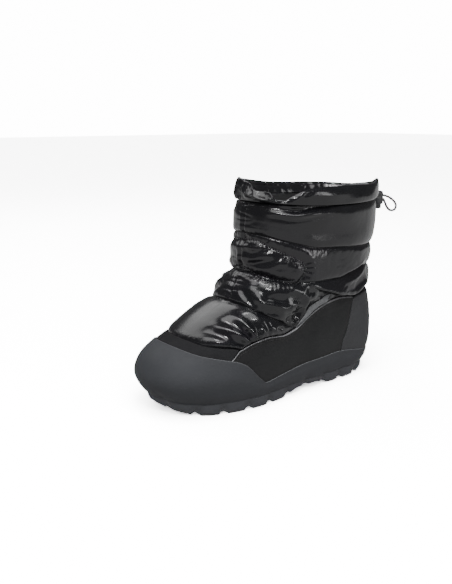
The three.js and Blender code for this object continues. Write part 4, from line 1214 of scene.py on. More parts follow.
@dataclass
class Upper:
    """The padded boot body: quilted nylon outside, brushed lining inside."""

    columns: int = 400
    waves: Noise = field(default_factory=lambda: Noise(11))
    fine: Noise = field(default_factory=lambda: Noise(12))

    def __post_init__(self) -> None:
        """Divide the boot into columns."""
        self.angles = even_angles(self.columns, 7.0)
        self.stops = Stops(self.angles)

    def build(self) -> bpy.types.Object:
        """Make the upper as one closed wall."""
        rings, gathered = (np.concatenate(parts) for parts in zip(*(self._band(band) for band in BANDS)))
        inside = self._inside()
        points = np.concatenate([rings, inside])
        faces = skin_faces(len(points), self.columns, Ends.JOINED)
        piece = add_mesh("boot_upper", points.reshape(-1, 3), faces)
        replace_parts(piece, "upper")
        keep_value(piece, "gather", np.concatenate([gathered, np.zeros(inside.shape[:2])]))
        paint(piece, NYLON)
        piece.data.materials.append(LINING.material())
        count = len(piece.data.polygons)
        lined = np.arange(count) >= (len(rings) - 1) * self.columns
        piece.data.polygons.foreach_set("material_index", lined.astype(np.int32))
        return piece

    def _band(self, band: Band) -> tuple[Array, Array]:
        """Make one baffle's rings, its upper seam left to the next, and say where its cloth is gathered."""
        low, high = self.stops(band.low), self.stops(band.high)
        even = np.linspace(0, 1, band.rows, endpoint=False)
        share = (even + (1 - np.cos(np.pi * even)) / 2) / 2
        level = low + (high - low) * share[:, None]
        angle = np.broadcast_to(self.angles, level.shape)
        place = LAST.point(level, angle)
        out = LAST.outward(level, angle)
        height = np.linalg.norm(LAST.point(high, self.angles) - LAST.point(low, self.angles), axis=-1)
        step = np.linalg.norm(np.roll(place, -1, axis=1) - place, axis=-1)
        walked = np.cumsum(step, axis=1) - step
        around = walked / step.sum(axis=1, keepdims=True)
        if not band.puff:
            return place, np.zeros_like(level)
        shares = np.broadcast_to(share[:, None], level.shape)
        offset = self._puff(band, shares, height, around)
        full = smooth_step(0, FULL_BAND, height) * np.ones_like(level)
        girth = step.sum(axis=1).mean()
        offset = offset + full * self._gathers(band, shares * height, height, around, girth)
        flat_place, flat_out = place.reshape(-1, 3), out.reshape(-1, 3)
        sewn, gathered = self._seams(flat_place, flat_out)
        by_hand = (sewn + self._folds(flat_place, flat_out)).reshape(level.shape)
        offset = offset + full * by_hand + full * self._unrest(band, place, around)
        beside_seam = self._beside_seam(band, shares * height, height, around)
        gathered = np.maximum(gathered.reshape(level.shape), beside_seam) * full
        return place + out * np.maximum(offset, -0.4 * UPPER_WALL)[..., None], gathered

    def _puff(self, band: Band, share: Array, height: Array, around: Array) -> Array:
        """Give the baffle's fullness, which hangs lowest beside the heel."""
        turn = np.minimum(around, 1 - around)
        hang = 1 + band.sag * smooth_step(0.24, 0.3, turn) * (1 - smooth_step(0.4, 0.46, turn))
        even = 1 + 0.05 * self.waves(around * 9, share * 0.6 + 3.1, 9)
        return puff_height(band, share ** (1 / hang), height) * even

    def _gathers(self, band: Band, from_low: Array, height: Array, around: Array, girth: float) -> Array:
        """Give the small gathers along the baffle's seams."""
        total = np.zeros_like(from_low)
        turn = np.minimum(around, 1 - around)
        for number, row in enumerate(PUCKERS):
            if row.band != band.name:
                continue
            gap = height - from_low if row.at_top else from_low
            cells = max(8, round(girth / row.pitch))
            slant = 0.02 * self.waves(around * 7, gap / 40 + number, 7)
            figure = creases(self.fine, (around + slant) * cells, gap / (3.5 * row.reach) + 7.3 * number, cells)
            strong = 0.6 + 0.6 * self.waves(around * 13, 5.0 + number + 0 * gap, 13)
            start = smooth_step(row.start - 0.02, row.start + 0.02, turn) if row.start else 1.0
            window = start * (1 - smooth_step(row.end - 0.05, row.end + 0.02, turn))
            fade = np.exp(-((gap / row.reach) ** 1.4)) * smooth_step(-1.0, 1.5, gap)
            total += row.depth * strong * window * fade * figure
        return total

    @staticmethod
    def _beside_seam(band: Band, from_low: Array, height: Array, around: Array) -> Array:
        """Give where the cloth is finely gathered along the baffle's own seams."""
        turn = np.minimum(around, 1 - around)
        total = np.zeros_like(from_low)
        for row in PUCKERS:
            if row.band == band.name:
                gap = height - from_low if row.at_top else from_low
                window = 1 - smooth_step(row.end - 0.05, row.end + 0.02, turn)
                total = np.maximum(total, window * min(row.depth, 1) * np.exp(-((gap / 3.4) ** 2)))
        return total

    def _seams(self, place: Array, out: Array) -> tuple[Array, Array]:
        """Give the seams sewn across the baffles, with their gathers, and where these are."""
        total, gathered = np.zeros(len(place)), np.zeros(len(place))
        rows = [(side, row) for row in SEAMS for side in Side] + [(Side.OUTER, FRONT_SEAM)]
        for number, (side, row) in enumerate(rows):
            near = beside(on_last(side, row.places), place, out, 3.2 * row.reach)
            groove = -row.depth * np.exp(-((near.distance / row.width) ** 1.1))
            lip = 0.22 * row.depth * np.exp(-(((near.distance - 2.2 * row.width) / row.width) ** 2))
            figure = creases(self.fine, near.along / row.pitch, near.signed / (4 * row.reach) + 11.7 * number)
            gathers = row.pucker * figure * np.exp(-((near.distance / row.reach) ** 1.3))
            total[near.index] += groove + lip + gathers
            beside_it = np.exp(-((near.distance / 3.8) ** 2)) * (0.15 if row is FRONT_SEAM else 1.0)
            gathered[near.index] = np.maximum(gathered[near.index], beside_it)
        return total, gathered

    @staticmethod
    def _folds(place: Array, out: Array) -> Array:
        """Give the listed folds."""
        total = np.zeros(len(place))
        for fold in FOLDS:
            near = beside(on_last(fold.side, fold.places), place, out, 3.4 * fold.width)
            total[near.index] += fold_height(fold, near)
        return total

    def _unrest(self, band: Band, place: Array, around: Array) -> Array:
        """Give the slack cloth's slow waves, livelier over the instep than on the shaft."""
        lively = {"vamp": 0.06, "instep": 0.45, "ankle": 0.25, "shaft": 0.1}[band.name]
        slow = self.waves(around * 16, place[..., 2] / 26, 16)
        bend = 0.4 * self.waves(around * 11, place[..., 2] / 30 + 9, 11)
        quick = creases(self.fine, around * 34 + bend, place[..., 2] / 9 + 3 * bend, 34)
        return 0.35 * slow + lively * 0.55 * quick

    def _inside(self) -> Array:
        """Make the lining's rings, from the top down to the foot."""
        lines = (upper_top, cuff_line, calf_line, ankle_line, quilt_line, tuck_line, insole_top, upper_foot)
        rings = []
        for high, low in zip(lines[:-1], lines[1:]):
            count = 3 if low is not upper_foot else 1
            for share in np.linspace(0, 1, count, endpoint=False):
                level = between(self.stops(high), self.stops(low), share)
                soft = 0.25 * self.waves(self.angles * 6, level * 1.3)
                rings.append(LAST.skin(level, self.angles, soft - UPPER_WALL))
        rings.append(LAST.skin(self.stops(upper_foot), self.angles, np.full(self.columns, -UPPER_WALL)))
        return np.stack(rings)


@dataclass
class Rubber:
    """The cup sole and the tread, whose lugs bulge along the edge."""

    columns: int = 720
    bulge: float = 1.6
    bulge_height: float = 19.0
    lip: float = 0.9
    toe_roll: float = 5.0
    notch: float = 0.55
    across: int = 44

    def __post_init__(self) -> None:
        """Divide the sole into columns and find the lugs along its edge."""
        self.angles = even_angles(self.columns, 1.5)
        self.stops = Stops(self.angles)
        self.sole = self.stops(cup_bottom)
        seat = self._ring(self.sole, SOLE_EDGE)
        under_toe = towards("toe", "tip", seat[:, 1]) ** 1.5
        ground = self._ring(self.sole, SOLE_EDGE - TREAD_BEVEL - self.toe_roll * under_toe)
        edge = np.linalg.norm(np.diff(ground[:, :2], axis=0, append=ground[:1, :2]), axis=1)
        walked = np.cumsum(edge) - edge
        self.phase = (walked - LUG_PITCH / 2) / LUG_PITCH
        rest = edge.sum() / LUG_PITCH
        self.phase = np.where(self.phase > rest - 0.75, self.phase + 0.25, self.phase)
        self.from_notch = np.abs(self.phase - np.round(self.phase)) * LUG_PITCH
        self.seat, self.ground = seat, ground

    def _ring(self, level: Array, offset: float | Array) -> Array:
        """Give a ring of the sole."""
        return LAST.skin(level, self.angles, np.broadcast_to(offset, level.shape))

    def _lobes(self, height: Array) -> Array:
        """Give how far the lugs bulge out of the side at a height over the ground line."""
        round_lug = np.cos(np.pi * np.clip(1 - self.from_notch / (LUG_PITCH / 2), 0, 1) ** 1.6)
        return self.bulge * (round_lug - 0.2) * (1 - smooth_step(3, self.bulge_height, height))

    def cup(self) -> bpy.types.Object:
        """Make the cup sole: floor, side and toe bumper in one."""
        cover, step, bed = self.stops(cover_line), self.stops(self._cup_step), self.stops(footbed)
        seat = self._lip_seat(LAST.point(cover, self.angles)[:, 1])
        walls = Curve([0, 0.25, 0.5, 0.75, 0.9, 1], [SOLE_EDGE, 5.0, 5.2, 5.0, 4.7, 4.2])
        rings = []
        for share in np.linspace(0, 0.985, 46):
            level = between(self.sole, cover, share)
            near_lip = smooth_step(0.55, 1.0, share)
            wall = walls(share) * (1 - near_lip) + (seat + self.lip) * near_lip
            place = self._ring(level, wall)
            height = place[:, 2] - ground_line(place[:, 1])
            rings.append(self._ring(level, wall + self._lobes(height)))
        rounding = np.linspace(0, np.pi, 9)[1:]
        middle, radius = seat + self.lip / 2, self.lip / 2
        over = between(self.sole, cover, 0.985)
        for turn in rounding:
            top = over + (cover - over) * math.sin(turn)
            rings.append(self._ring(top, middle + radius * math.cos(turn)))
        for share in (0.3, 0.6, 1.0):
            rings.append(self._ring(between(over, step, share), seat))
        for share in (0, 0.35, 0.7, 1):
            rings.append(self._ring(between(step, bed, share), CURVED_CLEARANCE))
        points = np.stack(rings)
        faces = skin_faces(len(points), self.columns, Ends.POINT)
        piece = add_mesh("boot_cup_sole", points.reshape(-1, 3), faces)
        steps = np.linalg.norm(np.diff(points, axis=0, prepend=points[:1]), axis=-1).cumsum(axis=0)
        # Distance from the lip's top, which places the rubber's painted highlight line.
        keep_value(piece, "edge", np.abs(steps - steps[49]))
        return paint(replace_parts(piece, "cup_sole"), RUBBER)

    @staticmethod
    def _lip_seat(y: Array) -> Array:
        """Give how far off the last the lip lies, close on the strip, the panels and the counter in turn."""
        strip, panel, counter = STRIP_THICKNESS, PANEL_THICKNESS, COUNTER_THICKNESS
        to_panel = smooth_step(PANEL_FRONT - 4, PANEL_FRONT + 10, y)
        to_counter = smooth_step(COUNTER_TOP[0][0] * LENGTH - 8, COUNTER_TOP[0][0] * LENGTH, y)
        return CURVED_CLEARANCE + strip + (panel - strip) * to_panel + (counter - panel) * to_counter + CLEARANCE

    @staticmethod
    def _cup_step(y: Array, angle: Array | None = None) -> Array:
        """Give the ledge on which the panels end."""
        return above(tuck_line, -CLEARANCE)(y)

    def _notch(self, inset: Array) -> Array:
        """Give the height of the gaps between the lugs at a distance inside the edge."""
        room = (plate_top(self.ground[:, 1]) - ground_line(self.ground[:, 1])) / OUTSOLE_THICKNESS
        round_gap = np.clip(1 - (self.from_notch / (0.75 * LUG_GAP)) ** 2, 0, 1) ** 0.8
        end = np.sqrt(np.clip(1 - (inset / LUG_REACH) ** 4, 0, 1))
        return self.notch * LUG_DEPTH * room * round_gap * end

    def tread(self) -> bpy.types.Object:
        """Make the tread: lugs all round, parted by notches, and cross grooves underneath."""
        edge = self.ground.copy()
        edge[:, 2] = ground_line(edge[:, 1])
        top = self.seat.copy()
        top[:, 2] -= 0.1 * CLEARANCE
        notch = self._notch(np.zeros(self.columns))
        under_toe = towards("toe", "tip", self.seat[:, 1]) ** 1.5
        rings = []
        half = self.columns // 2
        partner = edge[(self.columns - np.arange(self.columns)) % self.columns]
        for share in np.linspace(0, 1, self.across)[::-1]:
            spread = share ** 0.8
            ring = (edge + partner) / 2 + (edge - partner) / 2 * spread
            inset = np.linalg.norm(edge - ring, axis=1)
            rise = self._notch(inset)
            ring[:, 2] = ground_line(ring[:, 1]) + np.maximum(rise, self._groove(ring))
            rings.append(ring)
        rings = rings[::-1]
        side = []
        for share in np.linspace(0, 1, 15)[1:]:
            low = edge.copy()
            low[:, 2] += notch
            ring = low + (top - low) * share
            bow = TREAD_BEVEL * (0.25 + 0.35 * under_toe) * math.sin(math.pi * share)
            height = ring[:, 2] - ground_line(ring[:, 1])
            way = LAST.outward(self.sole, self.angles)
            lobes = self._lobes(height) * smooth_step(0, 0.35, share)
            side.append(ring + way * (bow + lobes)[:, None])
        points = np.stack([*rings, *side])
        faces = skin_faces(len(points), self.columns, Ends.POINT)
        low_cap = half
        faces = np.delete(faces, slice(len(faces) - 2 * low_cap, len(faces) - low_cap), axis=0)
        piece = add_mesh("boot_tread", points.reshape(-1, 3), faces)
        self._weld(piece)
        return paint(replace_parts(piece, "outsole"), TREAD)

    @staticmethod
    def _weld(piece: bpy.types.Object) -> None:
        """Join the two sides of the sole along its middle line."""
        mesh = bmesh.new()
        mesh.from_mesh(piece.data)
        bmesh.ops.remove_doubles(mesh, verts=mesh.verts, dist=0.02 * MM)
        bmesh.ops.recalc_face_normals(mesh, faces=mesh.faces)
        mesh.to_mesh(piece.data)
        mesh.free()

    @staticmethod
    def _groove(ring: Array) -> Array:
        """Give the height of the cross grooves under a ring."""
        first = GROUND["toe"] * LENGTH + LUG_PITCH / 2
        count = math.ceil((GROUND["heel"] * LENGTH - first) / LUG_PITCH)
        nearest = first + LUG_PITCH * np.clip(np.round((ring[:, 1] - first) / LUG_PITCH), 0, count - 1)
        gap = np.abs(ring[:, 1] - nearest)
        ground = ground_line(ring[:, 1])
        return np.clip(GROOVE_DEPTH - ground, 0, None) * (1 - smooth_step(0.35, 0.62, gap / GROOVE_WIDTH))


@dataclass
class Insole:
    """The footbed."""

    columns: int = 240

    def build(self) -> bpy.types.Object:
        """Make the footbed with a soft upper edge and a shallow heel cup."""
        angles = even_angles(self.columns, 2.0)
        stops = Stops(angles)
        low, high = stops(upper_foot), stops(insole_top)
        edge = UPPER_WALL + CURVED_CLEARANCE
        rings = [LAST.skin(low, angles, np.full(self.columns, -edge))]
        for share, inset in ((0.8, 0.0), (0.95, 0.4), (1.0, 1.3)):
            rings.append(LAST.skin(between(low, high, share), angles, np.full(self.columns, -edge - inset)))
        top = rings[-1]
        partner = top[(self.columns - np.arange(self.columns)) % self.columns]
        for share in np.linspace(1, 0, 26)[1:]:
            ring = (top + partner) / 2 + (top - partner) / 2 * share
            ring[:, 2] -= 0.6 * (1 - share**2)
            rings.append(ring)
        points = np.stack(rings)
        faces = skin_faces(len(points), self.columns, Ends.POINT)
        faces = faces[: len(faces) - self.columns // 2]
        piece = add_mesh("boot_insole", points.reshape(-1, 3), faces)
        Rubber._weld(piece)
        return paint(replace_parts(piece, "insole"), FOAM)


def panel_top(y: Array, angle: Array | None = None) -> Array:
    """Give the side panels' upper edge, and nothing ahead of them."""
    return np.where(y < PANEL_FRONT, -HEIGHT, panel_top_line(y))


def strip_low(y: Array, angle: Array | None = None) -> Array:
    """Give the mudguard strip's lower edge."""
    over_panel = np.where(y < PANEL_FRONT, -HEIGHT, above(panel_top_line, CLEARANCE)(y))
    return np.maximum(tuck_line(y), over_panel)


def panel_low(y: Array, angle: Array | None = None) -> Array:
    """Give the side panels' lower edge."""
    return np.maximum(tuck_line(y), above(counter_top, CLEARANCE)(y))


def panel_high(y: Array, angle: Array | None = None) -> Array:
    """Give the side panels' upper edge under the quilting."""
    return np.minimum(panel_top(y) - CLEARANCE, quilt_line(y) - SEAM_DROP)


def tab_low(y: Array, angle: Array | None = None) -> Array:
    """Give the heel tab's lower edge, on the counter."""
    return np.where(y < PANEL_BACK, quilt_line(y), counter_top(y) + CLEARANCE)


quilt_edge = above(quilt_line, -SEAM_DROP)
counter_high = above(counter_top, -CLEARANCE)


@dataclass
class Overlay:
    """A patch on the last between two lines, rounded along its edges."""

    name: str
    node: str
    slot: str
    finish: Finish
    low: Line
    high: Line
    middle: float
    thickness: float
    rows: int = 30
    spacing: float = 1.1
    round_edge: float = 1.1
    bulge: float = 0.0
    slack: float = 0.12
    binding: float = 0.0
    lift: Callable[[Array, Array], Array] | None = None
    ends: Range | None = None

    def width(self, angle: Array) -> Array:
        """Give the patch's height at some angles."""
        low, high = LAST.level_at(self.low, angle), LAST.level_at(self.high, angle)
        return LAST.point(high, angle)[..., 2] - LAST.point(low, angle)[..., 2]

    def end(self, away: float) -> float:
        """Find the angle, from the patch's middle on, at which it narrows to nothing."""
        inside, outside = self.middle, self.middle + away
        for _ in range(26):
            half = (inside + outside) / 2
            wide = self.width(np.array([half % TURN]))[0] > LEAST_BAND
            inside, outside = (half, outside) if wide else (inside, half)
        return inside

    def build(self, reach: float = math.pi / 2) -> bpy.types.Object:
        """Make the patch.

        Args:
            reach: How far round from its middle the patch may end.

        Returns:
            The piece, painted and riding on the boot.
        """
        first, last = self.ends or (self.end(-reach), self.end(reach))
        rough = np.linspace(first, last, 900)
        level = LAST.level_at(self.high, rough % TURN)
        step = np.linalg.norm(np.diff(LAST.point(level, rough % TURN), axis=0), axis=1)
        walked = np.concatenate([[0], np.cumsum(step)])
        count = int(walked[-1] / self.spacing)
        angles = np.interp(np.linspace(0, walked[-1], count), walked, rough) % TURN
        low, high = LAST.level_at(self.low, angles), LAST.level_at(self.high, angles)
        share = np.linspace(0, 1, self.rows)
        share = (share + (1 - np.cos(np.pi * share)) / 2) / 2
        levels = low[:, None] + (high - low)[:, None] * share
        around = np.broadcast_to(angles[:, None], levels.shape)
        place, out = LAST.point(levels, around), LAST.outward(levels, around)
        edge = self._edge(place)
        swell = np.sqrt(np.clip(1 - (1 - np.clip(edge / self.round_edge, 0, 1)) ** 2, 0, 1))
        rest = CURVED_CLEARANCE if self.lift is None else self.lift(levels, around)
        wave = Noise(31)(around * 9, levels * 2.2) * self.slack * smooth_step(0, 8, edge)
        rise = smooth_step(0.4, 0.95, -np.cos(around)) * self.bulge * np.sin(np.pi * share)
        rise = rise + self.binding * np.exp(-(((edge - 1.0) / 0.8) ** 2))
        front = place + out * (rest + self.thickness * (0.25 + 0.75 * swell) + wave + rise)[..., None]
        back = (place + out * np.broadcast_to(rest, levels.shape)[..., None])[:, ::-1]
        points = np.concatenate([front, back], axis=1)
        faces = skin_faces(count, 2 * self.rows, Ends.EDGE)
        piece = add_mesh(self.name, points.reshape(-1, 3), faces)
        if self.finish.edge:
            keep_value(piece, "edge", np.concatenate([edge, edge[:, ::-1]], axis=1))
        return paint(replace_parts(piece, self.node), self.finish)

    def _edge(self, place: Array) -> Array:
        """Give each point's distance from the patch's nearest edge."""
        steps = np.linalg.norm(np.diff(place, axis=1), axis=-1)
        from_low = np.concatenate([np.zeros((len(place), 1)), np.cumsum(steps, axis=1)], axis=1)
        total = from_low[:, -1:]
        columns = np.arange(len(place))
        from_end = np.minimum(columns, columns[::-1])[:, None] * self.spacing
        return np.minimum(np.minimum(from_low, total - from_low), from_end)


def tape_angle(along: float) -> float:
    """Give the angle at a place along the tape's level."""
    level = LAST.level_at(above(quilt_line, CLEARANCE), np.array([math.pi / 2]))
    front, back = (float(LAST.curves[name](level)[0]) for name in ("front", "back"))
    return math.acos(1 - 2 * (along - front) / (back - front))


def overlays(surface: Surface) -> list[Overlay]:
    """List the patches on the upper, whose surface carries the tape."""
    quarter = math.pi / 2
    return [
        Overlay("boot_vamp_strip", "vamp_strip", "softshell", SOFTSHELL, strip_low, quilt_edge, 0.0,
                STRIP_THICKNESS, rows=16),
        Overlay("boot_panel_outer", "side_panel_outer", "nubuck", NUBUCK, panel_low, panel_high, quarter,
                PANEL_THICKNESS, rows=54, round_edge=1.0, binding=0.35),
        Overlay("boot_panel_inner", "side_panel_inner", "nubuck", NUBUCK, panel_low, panel_high, 3 * quarter,
                PANEL_THICKNESS, rows=54, round_edge=1.0, binding=0.35),
        Overlay("boot_counter", "heel_counter", "moulded_counter", COUNTER, tuck_line, counter_high, math.pi,
                COUNTER_THICKNESS, rows=54, round_edge=1.6, bulge=COUNTER_BULGE),
        Overlay("boot_heel_tab", "heel_tab", "softshell", SOFTSHELL, tab_low, quilt_edge, math.pi,
                TAB_THICKNESS, rows=12),
        Overlay("boot_tape", "side_tape", "webbing", WEBBING, above(quilt_line, CLEARANCE),
                above(quilt_line, CLEARANCE + TAPE_WIDTH), quarter, TAPE_THICKNESS, rows=22, spacing=0.5,
                round_edge=0.5, slack=0.0, lift=surface.under, ends=(tape_angle(0.01), tape_angle(0.1))),
    ]


COLLAR_FOLDS = (
    Fold(Side.OUTER, 3.4, 3.6, ((0.0, 0.962), (0.03, 0.95), (0.05, 0.938), (0.066, 0.928)), Crease.LAP),
    Fold(Side.OUTER, 3.4, 3.6, ((0.06, 0.928), (0.07, 0.936), (0.08, 0.952), (0.09, 0.972)), Crease.LAP),
    Fold(Side.OUTER, 1.2, 3.4, ((0.034, 0.985), (0.05, 0.972), (0.066, 0.962), (0.078, 0.975))),
    Fold(Side.OUTER, 2.4, 2.6, ((-0.01, 0.93), (0.02, 0.93), (0.045, 0.925), (0.07, 0.912))),
    Fold(Side.OUTER, -1.8, 2.4, ((-0.01, 1.03), (-0.011, 0.99), (0.002, 0.955), (0.021, 0.937))),
    Fold(Side.OUTER, 2.2, 2.4, ((0.003, 1.02), (0.01, 0.99), (0.02, 0.966))),
    Fold(Side.OUTER, 2.4, 2.0, ((0.091, 0.98), (0.093, 0.955), (0.1, 0.935))),
    Fold(Side.OUTER, -1.7, 4.6, ((0.105, 0.955), (0.14, 0.966), (0.18, 0.966), (0.23, 0.962), (0.27, 0.965))),
    Fold(Side.OUTER, 1.3, 1.7, ((0.1, 0.978), (0.13, 0.99), (0.17, 0.996), (0.22, 0.996))),
    Fold(Side.OUTER, 1.0, 1.8, ((0.122, 0.95), (0.132, 0.965), (0.142, 0.985))),
    Fold(Side.OUTER, 0.9, 2.0, ((0.148, 0.955), (0.156, 0.97), (0.17, 0.985))),
    Fold(Side.OUTER, 0.8, 6.0, ((0.25, 0.975), (0.3, 0.985), (0.36, 0.98))),
    Fold(Side.INNER, 2.2, 3.2, ((0.02, 0.925), (0.03, 0.955), (0.035, 0.985))),
    Fold(Side.INNER, 2.4, 3.2, ((0.08, 0.925), (0.085, 0.95), (0.08, 0.98))),
    Fold(Side.INNER, -1.8, 4.0, ((0.12, 0.93), (0.13, 0.95), (0.14, 0.965))),
)


@dataclass
class Collar:
    """The gathered cuff with the drawcord's channel."""

    columns: int = 480
    gathers: int = 15
    gather_depth: float = 1.2
    waves: Noise = field(default_factory=lambda: Noise(21))

    def build(self) -> bpy.types.Object:
        """Make the cuff: a round roll that laps over the top of the upper."""
        angles = even_angles(self.columns, 15.0)
        stops = Stops(angles)
        edge, rim, seat = stops(cuff_line), stops(rim_line), stops(above(upper_top, CLEARANCE))
        around = angles / TURN
        gather = self.gather_depth * np.sin(self.gathers * angles)
        live = 0.12 + 0.5 * (1 - smooth_step(0.08, 0.14, around)) + 0.9 * smooth_step(0.5, 0.7, around)
        rows = (
            (0.0, CURVED_CLEARANCE, 0.0), (0.0, CURVED_CLEARANCE + COLLAR_SKIRT, 0.3), (0.05, 4.2, 0.6),
            (0.25, 5.3, 1.0), (0.55, 5.3, 1.0), (0.84, 4.7, 1.0), (0.96, 4.1, 0.9), (1.0, 3.4, 0.8),
            (1.0, 2.7, 0.8), (0.96, 1.9, 0.8), (0.86, 0.3, 0.6), (0.6, -2.6, 0.4), (0.3, -4.4, 0.2),
        )
        path = path_through(rows, 7)
        rings, shares = [], []
        for share, offset, wave in path:
            level = between(edge, rim, share)
            inward = smooth_step(2.0, -2.0, offset) if offset < 2 else 0.0
            crumple = self._crumple(around, share, inward) * smooth_step(0.02, 0.3, share)
            rings.append(LAST.skin(level, angles, offset + wave * live * gather + crumple))
            shares.append(share)
        for offset in (-UPPER_WALL, CURVED_CLEARANCE):
            rings.append(LAST.skin(seat, angles, np.full(self.columns, offset)))
        points = np.stack(rings)
        outer = [i for i, row in enumerate(path) if row[1] > 0.5]
        flat = points[outer].reshape(-1, 3)
        way = LAST.outward(np.full(self.columns, 16.0), angles)
        normals = np.broadcast_to(way, (len(outer), self.columns, 3)).reshape(-1, 3)
        moved = np.zeros(len(flat))
        for fold in COLLAR_FOLDS:
            near = beside(on_last(fold.side, fold.places), flat - normals * 4, normals, 3.2 * fold.width)
            moved[near.index] += fold_height(fold, near)
        free = smooth_step(0.0, 0.25, path[outer, 0])[:, None]
        points[outer] += way * (moved.reshape(len(outer), -1) * free)[..., None]
        faces = skin_faces(len(points), self.columns, Ends.JOINED)
        piece = add_mesh("boot_collar", points.reshape(-1, 3), faces)
        return paint(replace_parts(piece, "collar"), NYLON)

    def _crumple(self, around: Array, share: float, inward: float) -> Array:
        """Give the slack cloth's crumples, liveliest in front and on the inner side."""
        lively = 0.12 + 0.5 * smooth_step(0.16, 0.08, around) + 0.9 * smooth_step(0.5, 0.7, around)
        big = self.waves(around * 17, np.full_like(around, share * 1.2 + 2 * inward), 17)
        small = creases(self.waves, around * 46, np.full_like(around, share * 1.8 + 5 + inward), 46)
        return lively * (0.9 * big + 0.5 * small)


# The drawcord's places from the middle of its lock, as in the frame's solid.
CORD_PLACES = (
    (2.4, -14.2, 7.4), (1.9, -12, 6), (1.1, -9.8, 4), (0.4, -7.4, 2.2), (0, -4, 1.7), (0, 1, 1.7),
    (0, 6, 1.7), (0, 10, 1.5), (0.1, 15, 0.4), (0.3, 20, -1.6), (0.5, 25, -4.4), (0.7, 29, -7.8),
    (0.6, 31.2, -11.8), (0.2, 30, -15.5), (-0.4, 26, -16.8), (-0.8, 21, -15.4), (-0.7, 16.5, -11.4),
    (-0.4, 13, -6.8), (-0.1, 10, -3), (0, 6, -1.7), (0, 1, -1.7), (0, -4, -1.7), (-0.6, -7.4, -0.8),
    (-1.6, -9.8, 1.4), (-2.4, -12, 4.2), (-2.8, -14.2, 6.2),
)


@dataclass
class CordLock:
    """The spring cord lock: a barrel with a slot for the cord, and its button."""

    sides: int = 48

    def __post_init__(self) -> None:
        """Find the lock's middle from the frame's barrel."""
        low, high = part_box("cord_lock_body")
        self.middle = np.array((low + high) / 2) / MM - ORIGIN

    def build(self) -> list[bpy.types.Object]:
        """Make the barrel and the button."""
        radius, button = LOCK_DIAMETER / 2, BUTTON_DIAMETER / 2
        slot_width = CORD_DIAMETER + 2 * CORD_CLEARANCE
        slot_height = CORD_SPACING + slot_width
        half = LOCK_LENGTH / 2
        barrel = self._turned("boot_lock_barrel", (
            (0, 0), (radius - 1.1, 0), (radius - 0.3, 0.4), (radius, 1.2), (radius, 8.4), (radius - 0.35, 8.9),
            (radius - 0.35, 9.5), (radius, 10.0), (radius, 12.6), (radius - 0.5, 13.9), (radius - 1.4, 14.7),
            (radius - 2.6, LOCK_LENGTH), (0, LOCK_LENGTH),
        ))
        bore_depth = BUTTON_INSIDE + BUTTON_TRAVEL + CLEARANCE
        bore = self._turned("bore", (
            (0, -5), (button + CLEARANCE, -5), (button + CLEARANCE, bore_depth), (0, bore_depth),
        ))
        slot = self._block("slot", (slot_width, 2 * LOCK_DIAMETER, slot_height), (0, 0, half))
        self._cut(barrel, bore)
        self._cut(barrel, slot)
        stem = self._turned("boot_lock_button", (
            (0, -BUTTON_STANDS_OUT), (button - 1.3, -BUTTON_STANDS_OUT), (button - 0.5, -BUTTON_STANDS_OUT + 0.3),
            (button, -BUTTON_STANDS_OUT + 1.1), (button, BUTTON_INSIDE), (0, BUTTON_INSIDE),
        ))
        bottom = (LOCK_LENGTH - slot_height) / 2 - BUTTON_TRAVEL
        fork = self._block("fork", (slot_width, 2 * LOCK_DIAMETER, LOCK_LENGTH), (0, 0, bottom + half))
        self._cut(stem, fork)
        for piece, node, body in ((barrel, "cord_lock_body", "boot"), (stem, "cord_lock_button", "button")):
            self._soften(piece)
            paint(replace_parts(piece, node), PLASTIC, body)
        return [barrel, stem]

    def _turned(self, name: str, profile: Sequence[tuple[float, float]]) -> bpy.types.Object:
        """Turn a profile of (radius, height) round the lock's upright axis."""
        angle = np.linspace(0, TURN, self.sides, endpoint=False)
        rows = np.array(profile)
        ring = np.stack([np.cos(angle), np.sin(angle), np.zeros_like(angle)], -1)
        points = ring[None] * rows[:, :1, None] + np.array([0, 0, 1.0]) * rows[:, 1:, None]
        base = self.middle - np.array([0, 0, LOCK_LENGTH / 2])
        faces = skin_faces(len(rows), self.sides, Ends.POINT)[: (len(rows) - 1) * self.sides]
        made = add_mesh(name, (points + base).reshape(-1, 3), faces)
        Rubber._weld(made)
        return made

    def _block(self, name: str, size: Sequence[float], centre: Sequence[float]) -> bpy.types.Object:
        """Make a cutter."""
        corners = np.array([[x, y, z] for z in (-0.5, 0.5) for y in (-0.5, 0.5) for x in (-0.5, 0.5)])
        base = self.middle - np.array([0, 0, LOCK_LENGTH / 2]) + np.array(centre)
        faces = np.array([[0, 2, 3, 1], [4, 5, 7, 6], [0, 1, 5, 4], [2, 6, 7, 3], [0, 4, 6, 2], [1, 3, 7, 5]])
        return add_mesh(name, corners * np.array(size) + base, faces, smooth=False)

    @staticmethod
    def _cut(piece: bpy.types.Object, cutter: bpy.types.Object) -> None:
        """Cut one closed piece out of another, and drop the cutter."""
        modifier = piece.modifiers.new("cut", "BOOLEAN")
        modifier.object = cutter
        modifier.solver = "EXACT"
        apply_modifiers(piece)
        bpy.data.objects.remove(cutter)

    @staticmethod
    def _soften(piece: bpy.types.Object) -> None:
        """Round the sharp edges a little."""
        bevel = piece.modifiers.new("soften", "BEVEL")
        bevel.width = 0.25 * MM
        bevel.segments = 2
        bevel.limit_method = "ANGLE"
        bevel.angle_limit = math.radians(40)
        apply_modifiers(piece)
        piece.data.polygons.foreach_set("use_smooth", np.full(len(piece.data.polygons), True))
        piece.data.set_sharp_from_angle(angle=math.radians(35))


def apply_modifiers(piece: bpy.types.Object) -> None:
    """Make what the modifiers give the piece's own mesh, and remove them."""
    graph = bpy.context.evaluated_depsgraph_get()
    made = bpy.data.meshes.new_from_object(piece.evaluated_get(graph))
    old = piece.data
    piece.modifiers.clear()
    piece.data = made
    bpy.data.meshes.remove(old)
    made.name = piece.name


